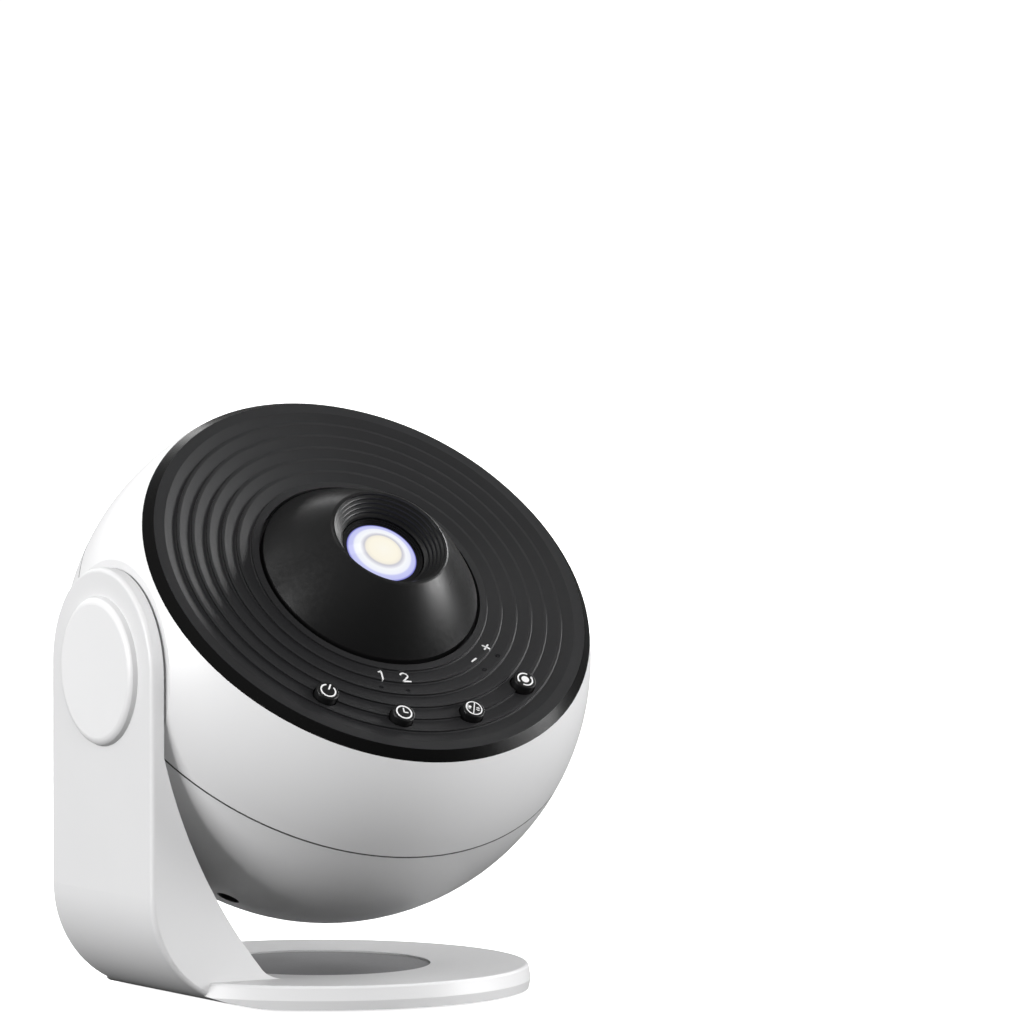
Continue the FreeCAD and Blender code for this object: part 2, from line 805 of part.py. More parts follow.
def port_frame(item):
    """Turn a piece drawn along +Z to the power inlet's direction."""
    azimuth = FreeCAD.Rotation(FreeCAD.Vector(0, 0, 1), value("port_azimuth"))
    polar_turn = FreeCAD.Rotation(FreeCAD.Vector(0, 1, 0), value("port_polar"))
    item.Placement = FreeCAD.Placement(FreeCAD.Vector(), azimuth.multiply(polar_turn))
    return item


def make_rear_shell():
    blank, cavity = ball_wall()
    top = "seam_offset - seam_gap / 2"
    zone = cylinder("far_reach", "-far_reach", top)
    wall = common(cut(blank, cavity), zone)
    tongue = cut(common(
        sphere("inner_radius + shell_wall / 2 - 0.05"),
        cut(cylinder("far_reach", f"{top} - 1", "seam_offset + tongue_height"), box(
            ("-far_reach", "hub_flange_radius * 0.8 - flat_offset"), ("-flat_radius - 2", "flat_radius + 2"),
            ("-shell_wall", "tongue_height * 3"))),
    ), sphere("inner_radius"))
    seat = "seam_offset - shell_screw_seat"
    posts = [post_with_rib("-far_reach", top, angle) for angle in SHELL_POST_ANGLES]
    board_seat = "main_board_top - board_thickness"
    board_posts = ring_of(BOARD_POST_ANGLES, "board_post_circle", lambda x, y: cylinder(
        "board_post_radius", "-far_reach", board_seat, x, y))
    collar = port_frame(lathe(
        ("socket_radius + fit_gap / 2", "ball_radius - socket_sink - socket_length * 0.75"),
        ("socket_radius + 1.6", "ball_radius - socket_sink - socket_length * 0.75"),
        ("socket_radius + 1.6", "ball_radius"),
        ("socket_radius + fit_gap / 2", "ball_radius"),
    ))
    inside = common(sphere("inner_radius + shell_wall / 2"), blank)
    fitted = common(fuse(*posts, *board_posts, collar), inside)
    body = fuse(wall, tongue, fitted)
    far_low = "-ball_radius"
    bores = ring_of(SHELL_POST_ANGLES, "shell_post_circle", lambda x, y: fuse(
        cylinder("shell_screw_head + fit_gap", far_low, seat, x, y),
        cylinder("shell_screw_radius + screw_fit", far_low, "seam_offset + 1", x, y)))
    board_pilots = ring_of(BOARD_POST_ANGLES, "board_post_circle", lambda x, y: cylinder(
        "small_screw_radius", f"{board_seat} - 8", f"{board_seat} + 1", x, y))
    port = port_frame(lathe(
        ("0", "ball_radius - socket_sink - socket_length"),
        ("socket_radius + fit_gap / 2", "ball_radius - socket_sink - socket_length"),
        ("socket_radius + fit_gap / 2", "ball_radius - socket_sink"),
        ("port_radius + fit_gap", "ball_radius - socket_sink"),
        ("port_radius + fit_gap", "ball_radius + 1"),
        ("0", "ball_radius + 1"),
    ))
    finish(cut(body, pivot_opening(), hub_pilots(), port, *bores, *board_pilots), "rear_shell", "head")


def make_shell_screws():
    screws = ring_of(SHELL_POST_ANGLES, "shell_post_circle", lambda x, y: screw(
        "shell_screw_radius", "shell_screw_head", "2", "seam_offset - shell_screw_seat",
        "seam_offset + 11", x, y))
    finish(fuse(*screws), "shell_screws", "head")


def make_power_socket():
    front = "ball_radius - socket_sink"
    body = lathe(
        ("0", f"{front} - socket_length"),
        ("socket_radius", f"{front} - socket_length"),
        ("socket_radius", front),
        ("port_radius", front),
        ("port_radius", f"{front} - socket_bore_depth"),
        ("socket_pin", f"{front} - socket_bore_depth"),
        ("socket_pin", f"{front} - 0.8"),
        ("0", f"{front} - 0.8"),
    )
    finish(group(port_frame(body)), "power_socket", "head")


# Face


def groove_ring(number):
    """One ring of the rippled face: a sharp inner edge, a soft foot and a slope that rises outwards."""
    edge = f"ring_outer - {number} * ring_pitch"
    return lathe(
        (edge, "face_offset + 1"),
        (edge, "face_offset - groove_depth * 0.8"),
        (f"{edge} + groove_foot", "face_offset - groove_depth"),
        (f"{edge} + groove_width", "face_offset"),
        (f"{edge} + groove_width", "face_offset + 1"),
    )


def make_face_panel():
    plate = lathe(
        ("dome_opening", "panel_back"),
        ("rim_radius - shell_wall - 1", "panel_back"),
        ("rim_radius - shell_wall - 1", "rim_offset"),
        ("rim_radius", "rim_offset"),
        ("rim_radius - bevel_width", "face_offset"),
        ("dome_opening", "face_offset"),
    )
    skirt = disc_with_bore("skirt_outer - skirt_wall", "skirt_outer", "rim_offset - skirt_depth",
                           "panel_back + 1")
    shell_bosses = ring_of(PANEL_BOSS_ANGLES, "panel_boss_circle", lambda x, y: cylinder(
        "panel_boss_radius", "ledge_top", "panel_back + 0.5", x, y))
    lug_bosses = ring_of(LUG_ANGLES, "lug_circle", lambda x, y: cylinder(
        "panel_boss_radius", "housing_top", "panel_back + 0.5", x, y))
    board_bosses = ring_of(BOARD_BOSS_ANGLES, "board_boss_circle", lambda x, y: cylinder(
        "panel_boss_radius * 0.8", "button_board_top", "panel_back + 0.5", x, y))
    grooves = [groove_ring(number) for number in range(6)]
    pilots = ring_of(PANEL_BOSS_ANGLES, "panel_boss_circle", lambda x, y: cylinder(
        "small_screw_radius", "ledge_top - 1", "panel_back + 0.6", x, y))
    pilots += ring_of(LUG_ANGLES, "lug_circle", lambda x, y: cylinder(
        "small_screw_radius", "housing_top - 1", "panel_back + 0.6", x, y))
    pilots += ring_of(BOARD_BOSS_ANGLES, "board_boss_circle", lambda x, y: cylinder(
        "small_screw_radius", "button_board_top - 1", "panel_back + 0.6", x, y))
    holes = [cylinder("button_radius + button_clearance", "panel_back - 1", "face_offset + 1",
                      *polar("button_circle", angle)) for angle in BUTTONS.values()]
    holes += [cylinder("indicator_radius + indicator_clearance", "panel_back - 1", "face_offset + 1",
                       *polar("indicator_circle", angle)) for angle in indicator_angles()]
    body = cut(fuse(plate, skirt, *shell_bosses, *lug_bosses, *board_bosses), *grooves, *pilots, *holes)
    finish(body, "face_panel", "head")


def indicator_angles():
    """Two indicators beside the timer button and two beside the rotation button."""
    return [
        f"({BUTTONS[name]}) + ({side}) * indicator_spread"
        for name in ("timer_button", "rotation_button")
        for side in (-1, 1)
    ]


def make_panel_screws():
    seat = "ledge_top - ledge_thickness"
    screws = ring_of(PANEL_BOSS_ANGLES, "panel_boss_circle", lambda x, y: screw(
        "small_screw_radius", "small_screw_head", "small_head_height", seat, "panel_back - 0.4", x, y))
    finish(fuse(*screws), "panel_screws", "head")


def make_button(label, angle):
    x, y = polar("button_circle", angle)
    top = "face_offset + button_height"
    flange = "flange_top - button_flange"
    body = lathe(
        ("0", "nub_end"),
        ("nub_radius", "nub_end"),
        ("nub_radius", flange),
        ("button_flange_radius", flange),
        ("button_flange_radius", "flange_top"),
        ("button_radius", "flange_top"),
        ("button_radius", f"{top} - button_edge", "button_edge", -1),
        ("button_radius - button_edge", top),
        ("0", top),
    )
    finish(group(put(body, x, y)), label, "head")


def make_button_board():
    low = "button_board_top - board_thickness"
    ring = disc_with_bore("button_board_inner", "button_board_outer", low, "button_board_top")
    sector = cylinder("far_reach", "0", "far_reach")
    tie(sector, Angle="button_board_span")
    sector.Placement = FreeCAD.Placement(FreeCAD.Vector(), FreeCAD.Rotation(
        FreeCAD.Vector(0, 0, 1), value("-90 - button_board_span / 2")))
    holes = ring_of(BOARD_BOSS_ANGLES, "board_boss_circle", lambda x, y: cylinder(
        "small_screw_radius + screw_fit", f"{low} - 1", "button_board_top + 1", x, y))
    finish(cut(common(ring, sector), *holes), "button_board", "head")
    screws = ring_of(BOARD_BOSS_ANGLES, "board_boss_circle", lambda x, y: screw(
        "small_screw_radius", "small_screw_head", "small_head_height", low, "panel_back - 0.4", x, y))
    finish(fuse(*screws), "button_board_screws", "head")


def make_switches():
    pieces = []
    for angle in BUTTONS.values():
        x, y = polar("button_circle", angle)
        half = "switch_width / 2"
        case = box((f"({x}) - {half}", f"({x}) + {half}"), (f"({y}) - {half}", f"({y}) + {half}"),
                   ("button_board_top", "switch_top"))
        pieces.append(cut(case, cylinder("nub_radius + fit_gap", "button_board_top + 0.3",
                                         "switch_top + 1", x, y)))
    finish(fuse(*pieces), "tactile_switches", "head")


def make_indicator_lights():
    pieces = []
    for angle in indicator_angles():
        x, y = polar("indicator_circle", angle)
        pieces.append(fuse(
            cylinder("indicator_body", "button_board_top", "panel_back - part_gap", x, y),
            cylinder("indicator_radius", "button_board_top", "face_offset - indicator_sink", x, y)))
    finish(fuse(*pieces), "indicator_lights", "head")


# Dome and lens


def funnel_steps():
    """Fine steps from the funnel's rim down to the lens barrel's bore."""
    count = 5
    corners = []
    width = f"(funnel_rim - barrel_bore - 0.3) / {count}"
    drop = f"(dome_height - funnel_foot) / {count}"
    for number in range(count):
        radius = f"funnel_rim - {number} * {width}"
        corners.append((radius, f"dome_height - {number} * {drop}"))
        corners.append((radius, f"dome_height - {number} * {drop} - {drop} * 0.6"))
        foot = f"dome_height - {number + 1} * {drop} + funnel_step_rise"
        corners.append((f"{radius} - {width} * 0.75", foot))
    return corners


def make_focus_dome():
    seat = "dome_flange_seat"
    flange_top = f"{seat} + dome_flange_thickness"
    sleeve = "barrel_bore + sleeve_wall"
    body = lathe(
        ("dome_radius - dome_wall", seat),
        ("dome_flange_radius", seat),
        ("dome_flange_radius", flange_top),
        ("dome_radius", flange_top),
        ("dome_radius", "dome_shoulder", "dome_curve", -1),
        ("funnel_rim + 1", "dome_height - 0.2"),
        ("funnel_rim + 0.6", "dome_height"),
        *funnel_steps(),
        ("barrel_bore", "funnel_foot"),
        ("barrel_bore", "sleeve_foot"),
        (sleeve, "sleeve_foot"),
        (sleeve, "dome_height - 4.6"),
        ("funnel_rim + 0.4", "dome_height - 2.6", "dome_curve - dome_wall", 1),
        ("dome_radius - dome_wall", "dome_shoulder"),
    )
    finish(body, "focus_dome", "head")


def make_lens_barrel():
    bore = "lens_radius + lens_fit"
    tube = lathe(
        (bore, "barrel_back"),
        ("barrel_radius", "barrel_back"),
        ("barrel_radius", "barrel_front - 0.2"),
        ("barrel_radius - 0.2", "barrel_front"),
        ("barrel_radius - 0.5", "barrel_front"),
        ("barrel_radius - 0.5", "barrel_front - 0.35"),
        ("barrel_radius - 1", "barrel_front - 0.35"),
        ("barrel_radius - 1", "barrel_front - 0.7"),
        (bore, "barrel_front - 0.7"),
        (bore, "lens_seat"),
        ("lens_stop_radius", "lens_seat"),
        ("lens_stop_radius", "barrel_back + rear_lens_depth + 1"),
        (bore, "barrel_back + rear_lens_depth + 1"),
    )
    keys = common(
        box(("-key_reach", "key_reach"), ("-key_width / 2", "key_width / 2"),
            ("barrel_back", "barrel_back + key_height")),
        disc_with_bore("barrel_radius - 0.5", "key_reach", "barrel_back", "barrel_back + key_height"),
    )
    finish(fuse(tube, keys), "lens_barrel", "head")


def make_lenses():
    sag = "sqrt(lens_curve^2 - lens_radius^2)"
    front = lathe(
        ("0", "lens_seat"),
        ("lens_radius", "lens_seat"),
        ("lens_radius", "lens_edge", "lens_curve", -1),
        ("0", f"lens_edge + lens_curve - {sag}"),
    )
    finish(front, "front_lens", "head")
    top = "barrel_back + rear_lens_depth + 1"
    rear = lathe(
        ("0", f"{top} - 2.4 - (lens_curve - {sag})", "lens_curve", -1),
        ("lens_radius", f"{top} - 2.4"),
        ("lens_radius", top),
        ("0", top),
    )
    finish(rear, "rear_lens", "head")


# Film drive


def gear_blank(teeth, low, high, start):
    """A spur gear with straight-sided teeth, its first tooth centred on the start angle."""
    module = value("gear_module")
    pitch = module * teeth / 2
    step = 2 * math.pi / teeth
    flanks = ((pitch - module, 0.58), (pitch, 0.42), (pitch + 0.75 * module, 0.22))
    points = []
    for tooth in range(teeth):
        middle = start + tooth * step
        turns = [(radius, middle - share * step / 2) for radius, share in flanks]
        turns += [(radius, middle + share * step / 2) for radius, share in reversed(flanks)]
        points += [FreeCAD.Vector(radius * math.cos(turn), radius * math.sin(turn), low)
                   for radius, turn in turns]
    item = doc.addObject("Part::Feature", "gear")
    item.Shape = Part.Face(Part.makePolygon(points + points[:1])).extrude(FreeCAD.Vector(0, 0, high - low))
    return item


def make_film_carrier():
    low = value("gear_floor")
    teeth = int(value("gear_teeth"))
    gear = gear_blank(teeth, low, low + value("gear_thickness"), math.pi / 2)
    hub = cylinder("carrier_hub_radius", "gear_floor - carrier_hub_depth", "gear_floor + 0.5")
    bore = cylinder("carrier_bore", "gear_floor - carrier_hub_depth - 1", "gear_floor + gear_thickness + 1")
    top = "gear_floor + gear_thickness"
    pocket = cylinder("film_radius + fit_gap", f"{top} - film_pocket", f"{top} + 1")
    finish(cut(fuse(gear, hub), bore, pocket), "film_carrier", "head")
    film = cylinder("film_radius", f"{top} - film_pocket", f"{top} - film_pocket + film_thickness")
    finish(group(film), "film_disc", "head")


def make_drive_pinion():
    low = value("gear_floor + 0.1")
    high = value("gear_floor + gear_thickness + 0.5")
    teeth = int(value("pinion_teeth"))
    gear = gear_blank(teeth, low, high, -math.pi / 2 + math.pi / teeth)
    put(gear, "0", "motor_reach")
    bore = cylinder("shaft_radius", "gear_floor - 1", "gear_floor + gear_thickness + 2", "0", "motor_reach")
    finish(cut(gear, bore), "drive_pinion", "head")
    shaft = cylinder("shaft_radius", "motor_seat - 5", "gear_floor + gear_thickness + 0.9",
                     "0", "motor_reach")
    finish(group(shaft), "motor_shaft", "head")


def motor_screw_places():
    return (("-motor_screw_reach", "motor_reach"), ("motor_screw_reach", "motor_reach"))


def make_drive_motor():
    can = cylinder("motor_radius", "motor_seat - motor_length", "motor_seat", "0", "motor_reach")
    flange = common(
        cylinder("motor_flange_radius", "motor_seat - motor_flange", "motor_seat", "0", "motor_reach"),
        box(("-motor_flange_radius", "motor_flange_radius"),
            ("motor_reach - motor_radius", "motor_reach + motor_radius"),
            ("motor_seat - motor_flange", "motor_seat")))
    bore = cylinder("shaft_radius + running_fit", "motor_seat - 6", "motor_seat + 1", "0", "motor_reach")
    holes = [cylinder("small_screw_radius + screw_fit", "motor_seat - 3", "motor_seat + 1", *place)
             for place in motor_screw_places()]
    finish(cut(fuse(can, flange), bore, *holes), "drive_motor", "head")
    screws = [screw("small_screw_radius", "small_screw_head * 0.7", "0.8", "motor_seat - motor_flange",
                    "housing_shelf + 0.6", *place) for place in motor_screw_places()]
    finish(fuse(*screws), "motor_screws", "head")


# Housing and light engine


def make_optics_housing():
    floor_top = "housing_floor + housing_floor_thickness"
    seat_bore = "carrier_hub_radius + carrier_fit"
    shelf_top = "housing_shelf + housing_shelf_thickness"
    inner = "housing_radius - housing_wall"
    body = lathe(
        ("condenser_radius + screw_fit", "housing_floor"),
        (f"{seat_bore} + housing_wall", "housing_floor"),
        (f"{seat_bore} + housing_wall", "housing_shelf"),
        ("housing_radius", "housing_shelf"),
        ("housing_radius", "housing_top - 1.6"),
        ("top_ring_radius", "housing_top - 1.6"),
        ("top_ring_radius", "housing_top"),
        ("top_ring_bore", "housing_top"),
        ("top_ring_bore", "housing_top - 1.6"),
        (inner, "housing_top - 1.6"),
        (inner, shelf_top),
        (seat_bore, shelf_top),
        (seat_bore, floor_top),
        ("condenser_radius + screw_fit", floor_top),
    )
    lugs = ring_of(LUG_ANGLES, "lug_circle", lambda x, y: cylinder(
        "lug_radius", "housing_top - lug_height", "housing_top", x, y))
    webs = [put(fuse(box((inner, "lug_circle"), ("-1.2", "1.2"), ("housing_top - lug_height", "housing_top")),
                     box((inner, "lug_circle - 1"), ("-1.2", "1.2"), ("housing_top - 2", "housing_top"))),
                axis=(0, 0, 1), angle=angle) for angle in LUG_ANGLES]
    posts = ring_of(SINK_POST_ANGLES, "sink_post_circle", lambda x, y: cylinder(
        "sink_post_radius", "sink_top", "housing_floor + 0.5", x, y))
    motor_lug = cylinder("motor_flange_radius", "motor_seat", shelf_top, "0", "motor_reach")
    window = cylinder("gear_module * pinion_teeth / 2 + 1.6", shelf_top, "gear_floor + gear_thickness + 2.4",
                      "0", "motor_reach")
    shaft_hole = cylinder("shaft_radius + 1.2", "motor_seat - 1", "gear_floor", "0", "motor_reach")
    bay = cylinder(seat_bore, floor_top, shelf_top)
    top_bore = cylinder(inner, shelf_top, "housing_top - 1.6")
    pilots = ring_of(SINK_POST_ANGLES, "sink_post_circle", lambda x, y: cylinder(
        "small_screw_radius", "sink_top - 1", "housing_floor + 0.8", x, y))
    pilots += ring_of(LUG_ANGLES, "lug_circle", lambda x, y: cylinder(
        "small_screw_radius + screw_fit", "housing_top - lug_height - 1", "housing_top + 1", x, y))
    pilots += [cylinder("small_screw_radius", "motor_seat - 1", "housing_shelf + 0.8", *place)
               for place in motor_screw_places()]
    joined = fuse(body, *lugs, *webs, *posts, motor_lug)
    finish(cut(joined, window, shaft_hole, bay, top_bore, *pilots), "optics_housing", "head")


def make_housing_screws():
    screws = ring_of(LUG_ANGLES, "lug_circle", lambda x, y: screw(
        "small_screw_radius", "small_screw_head", "small_head_height", "housing_top - lug_height",
        "panel_back - 0.4", x, y))
    finish(fuse(*screws), "housing_screws", "head")


def make_lens_guide():
    inner = "housing_radius - housing_wall"
    top = "guide_floor + guide_thickness"
    plate = disc_with_bore("guide_bore", inner, "guide_floor", top)
    slot = "key_width / 2 + 0.15"
    reach = "guide_bore + guide_fork_depth"
    start = "barrel_radius + 0.4"
    forks = common(
        box((f"-({reach})", reach), (f"-({slot}) - 2", f"({slot}) + 2"),
            ("guide_floor", f"{top} + guide_fork_height")),
        disc_with_bore(start, reach, "guide_floor", f"{top} + guide_fork_height"))
    channel = box(("-key_reach - 0.3", "key_reach + 0.3"), (f"-({slot})", slot),
                  (top, f"{top} + guide_fork_height + 1"))
    finish(cut(fuse(plate, forks), channel), "lens_guide", "head")


def make_light_engine():
    floor_top = "housing_floor + housing_floor_thickness"
    sag = "condenser_curve - sqrt(condenser_curve^2 - condenser_radius^2)"
    lens = lathe(
        ("0", "condenser_back"),
        ("condenser_radius", "condenser_back"),
        ("condenser_radius", floor_top),
        ("condenser_radius + 1", floor_top),
        ("condenser_radius + 1", f"{floor_top} + 0.8"),
        ("condenser_radius", f"{floor_top} + 0.8", "condenser_curve", -1),
        ("0", f"{floor_top} + 0.8 + {sag}"),
    )
    finish(lens, "condenser_lens", "head")
    low = "sink_top - sink_base"
    plate = cylinder("sink_radius", low, "sink_top")
    places = ("-4", "-3", "-2", "-1", "0", "1", "2", "3", "4")
    fins = [box((f"{place} * fin_pitch - fin_thickness / 2", f"{place} * fin_pitch + fin_thickness / 2"),
                ("-sink_radius", "sink_radius"), ("sink_top - sink_depth", f"{low} + 0.5"))
            for place in places]
    clipped = common(fuse(plate, *fins), cylinder("sink_radius", "sink_top - sink_depth", "sink_top"))
    holes = ring_of(SINK_POST_ANGLES, "sink_post_circle", lambda x, y: fuse(
        cylinder("small_screw_radius + screw_fit", "sink_top - sink_depth - 1", "sink_top + 1", x, y),
        cylinder("small_screw_head + fit_gap", "sink_top - sink_depth - 1", f"{low} + 0.6", x, y)))
    finish(cut(clipped, *holes), "heat_sink", "head")
    screws = ring_of(SINK_POST_ANGLES, "sink_post_circle", lambda x, y: screw(
        "small_screw_radius", "small_screw_head", "small_head_height",
        f"{low} + 0.6", "housing_floor + 0.5", x, y))
    finish(fuse(*screws), "heat_sink_screws", "head")
    board_top = "sink_top + led_board_thickness"
    finish(disc_plate("led_board_radius", "sink_top", board_top), "led_board", "head")
    half = "emitter_width / 2"
    chip = box((f"-{half}", half), (f"-{half}", half), (board_top, f"{board_top} + emitter_height"))
    finish(group(chip), "led_emitter", "head")


def disc_plate(radius, low, high):
    """A turned plain disc."""
    return lathe(("0", low), (radius, low), (radius, high), ("0", high))


# Rear electronics


def make_main_board():
    low = "main_board_top - board_thickness"
    plate = disc_plate("main_board_radius", low, "main_board_top")
    holes = ring_of(BOARD_POST_ANGLES, "board_post_circle", lambda x, y: cylinder(
        "small_screw_radius + screw_fit", f"{low} - 1", "main_board_top + 1", x, y))
    finish(cut(plate, *holes), "main_board", "head")
    screws = ring_of(BOARD_POST_ANGLES, "board_post_circle", lambda x, y: screw(
        "small_screw_radius", "small_screw_head", "small_head_height", "main_board_top", f"{low} - 7", x, y))
    finish(fuse(*screws), "main_board_screws", "head")
    top = "main_board_top"
    blocks = (
        (("-6", "6"), ("-6", "6"), "1.4"),
        (("10", "17"), ("-4", "3"), "3.0"),
        (("-22", "-12"), ("-3", "3"), "5.0"),
        (("-5", "5"), ("14", "19"), "4.0"),
        (("12", "19"), ("8", "12"), "1.2"),
        (("-8", "7"), ("-22", "-17"), "4.5"),
    )
    parts = [box(x, y, (top, f"{top} + {height}")) for x, y, height in blocks]
    parts.append(cylinder("3.1", top, f"{top} + 6", "12", "-14"))
    parts.append(cylinder("2.5", top, f"{top} + 5", "-14", "11"))
    finish(fuse(*parts), "board_components", "head")


make_stand_shell()
make_base_cover()
make_base_weight()
make_base_screws()
make_pads()
make_pivot_cap()
make_pivot_rings()
make_pivot_hub()
make_front_shell()
make_rear_shell()
make_shell_screws()
make_power_socket()
make_face_panel()
make_panel_screws()
for button_name, button_angle in BUTTONS.items():
    make_button(button_name, button_angle)
make_button_board()
make_switches()
make_indicator_lights()
make_focus_dome()
make_lens_barrel()
make_lenses()
make_film_carrier()
make_drive_pinion()
make_drive_motor()
make_optics_housing()
make_housing_screws()
make_lens_guide()
make_light_engine()
make_main_board()

doc.recompute()
for item in doc.Objects:
    if any(word in ("Invalid", "Error") for word in item.State):
        raise RuntimeError(f"{item.Name} failed: {item.State}")
for item in finished:
    if item.Shape.isNull() or not item.Shape.isValid() or not item.Shape.Solids:
        raise RuntimeError(f"{item.Label} has no valid solid")

os.makedirs("parts", exist_ok=True)
for item in finished:
    item.Shape.exportStep(f"parts/{item.Label}.step")
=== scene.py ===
import json
import math

import bmesh
import bpy
from mathutils import Euler, Matrix, Vector
from mathutils.bvhtree import BVHTree


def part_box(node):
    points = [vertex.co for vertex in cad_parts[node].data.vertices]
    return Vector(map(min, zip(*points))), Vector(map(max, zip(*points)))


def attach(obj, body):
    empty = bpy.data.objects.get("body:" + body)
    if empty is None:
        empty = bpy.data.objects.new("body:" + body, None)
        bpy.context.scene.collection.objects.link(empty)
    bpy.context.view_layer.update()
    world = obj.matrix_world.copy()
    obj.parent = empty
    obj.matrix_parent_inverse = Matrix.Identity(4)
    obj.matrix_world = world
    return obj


# Planetarium projector: its finishes, its printed marks, the camera and the light.

MM = 0.001

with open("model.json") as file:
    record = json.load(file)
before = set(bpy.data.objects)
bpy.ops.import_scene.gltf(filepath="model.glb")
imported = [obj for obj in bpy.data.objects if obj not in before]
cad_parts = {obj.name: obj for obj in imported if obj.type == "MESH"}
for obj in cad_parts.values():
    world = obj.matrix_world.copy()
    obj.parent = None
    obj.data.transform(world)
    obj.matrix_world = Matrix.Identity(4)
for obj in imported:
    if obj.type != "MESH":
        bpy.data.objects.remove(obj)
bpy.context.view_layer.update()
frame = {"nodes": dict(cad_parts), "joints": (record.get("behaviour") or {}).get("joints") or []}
nodes = frame["nodes"]
joints = {joint["name"]: joint for joint in frame["joints"]}

# The head at rest: where the frame has it, and the ball's radius

BALL_CENTRE = Vector(joints["head_tilt"]["pos_m"])
FACE_AXIS = Vector(joints["focus_turn"]["axis"])
HEAD_TURN = math.atan2(-FACE_AXIS.y, FACE_AXIS.z)
HEAD_FRAME = Matrix.Translation(BALL_CENTRE) @ Matrix.Rotation(HEAD_TURN, 4, "X")
INLET_LOW, INLET_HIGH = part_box("power_socket")
INLET_AXIS = ((INLET_LOW + INLET_HIGH) / 2 - BALL_CENTRE).normalized()
BALL_RADIUS = 67.5 * MM

# Sizes on the head in millimetres: where each mask of painted shade starts and is whole, and the
# lens

SEAM_HEIGHT = 1.0
SEAM_CLEAR, SEAM_DARK = 0.32, 0.2
INLET_CLEAR, INLET_DARK = 3.1, 2.9
BEVEL_CLEAR, BEVEL_DARK = 58.1, 58.3
LENS_RADIUS = 9.4

# The photograph's view: its frame, where the ball's centre lies in it, and how wide the ball is

FRAME_PIXELS = 1024
BALL_PIXEL = (326.1, 658.4)
BALL_PIXELS_ACROSS = 529.8
VIEW_AZIMUTH = math.radians(-29.8)
VIEW_ELEVATION = math.radians(5.5)
LENS_MM = 620.0
SENSOR_MM = 36.0
CLIP_START, CLIP_END = 0.1, 60


def add_camera():
    """A long lens at the photograph's angle, turned so that the ball falls on its place."""
    focal = LENS_MM / SENSOR_MM * FRAME_PIXELS
    distance = focal * 2 * BALL_RADIUS / BALL_PIXELS_ACROSS
    across = (BALL_PIXEL[0] - FRAME_PIXELS / 2) / focal
    up = (FRAME_PIXELS / 2 - BALL_PIXEL[1]) / focal
    length = math.sqrt(1 + across ** 2 + up ** 2)
    lift = math.asin(length * math.sin(VIEW_ELEVATION) / math.sqrt(1 + up ** 2))
    drop = math.atan(up) + lift
    turn = math.atan2(across, up * math.sin(drop) + math.cos(drop))
    towards = Vector((
        math.sin(VIEW_AZIMUTH) * math.cos(VIEW_ELEVATION),
        -math.cos(VIEW_AZIMUTH) * math.cos(VIEW_ELEVATION),
        math.sin(VIEW_ELEVATION),
    ))
    data = bpy.data.cameras.new("camera")
    data.lens = LENS_MM
    data.sensor_width = SENSOR_MM
    data.clip_start = CLIP_START
    data.clip_end = CLIP_END
    camera = bpy.data.objects.new("camera", data)
    camera.location = BALL_CENTRE + towards * distance
    camera.rotation_euler = Euler((math.pi / 2 - drop, 0, VIEW_AZIMUTH + turn), "XYZ")
    bpy.context.scene.collection.objects.link(camera)
    bpy.context.scene.camera = camera


# Node helpers

NOISE_LOW, NOISE_HIGH = 0.3, 0.7


def add_node(tree, kind, **inputs):
    """A node of a kind, with values or sockets for its inputs."""
    node = tree.nodes.new(kind)
    for name, value in inputs.items():
        socket = node.inputs[name.replace("_", " ")]
        if isinstance(value, bpy.types.NodeSocket):
            tree.links.new(value, socket)
        else:
            socket.default_value = value
    return node


def new_material(name, **constants):
    """A new material, its tree and its shader, with constants on the shader's own sockets."""
    material = bpy.data.materials.new(name)
    material.use_nodes = True
    shader = material.node_tree.nodes["Principled BSDF"]
    for socket, value in constants.items():
        shader.inputs[socket.replace("_", " ")].default_value = value
    return material, material.node_tree, shader


def object_place(tree):
    """The object's own coordinates, which are the CAD model's in metres."""
    return tree.nodes.new("ShaderNodeTexCoord").outputs["Object"]


def noise(tree, scale, detail=2.0):
    """Noise over the object's own coordinates, at a number of cells per metre."""
    kind = "ShaderNodeTexNoise"
    node = add_node(tree, kind, Vector=object_place(tree), Scale=scale, Detail=detail)
    return node.outputs["Fac"]


def remap(tree, value, from_low, from_high, to_low=0.0, to_high=1.0):
    """Map a range, which may fall, onto another, and clamp what is outside it."""
    node = add_node(
        tree, "ShaderNodeMapRange", Value=value,
        From_Min=from_low, From_Max=from_high, To_Min=to_low, To_Max=to_high)
    return node.outputs["Result"]


def tint(tree, shader, factor, dark, light):
    """Colour a surface between two colours, by a factor."""
    node = tree.nodes.new("ShaderNodeMix")
    node.data_type = "RGBA"
    tree.links.new(factor, node.inputs["Factor"])
    node.inputs["A"].default_value = (*dark, 1)
    node.inputs["B"].default_value = (*light, 1)
    tree.links.new(node.outputs["Result"], shader.inputs["Base Color"])


def uneven_gloss(tree, shader, factor, low, high):
    """Spread a surface's roughness over a range, by noise."""
    rough = remap(tree, factor, NOISE_LOW, NOISE_HIGH, low, high)
    tree.links.new(rough, shader.inputs["Roughness"])


def bump(tree, shader, height, depth):
    """Raise the surface by a height factor, to a depth in metres."""
    node = add_node(tree, "ShaderNodeBump", Height=height, Distance=depth, Strength=1.0)
    tree.links.new(node.outputs["Normal"], shader.inputs["Normal"])


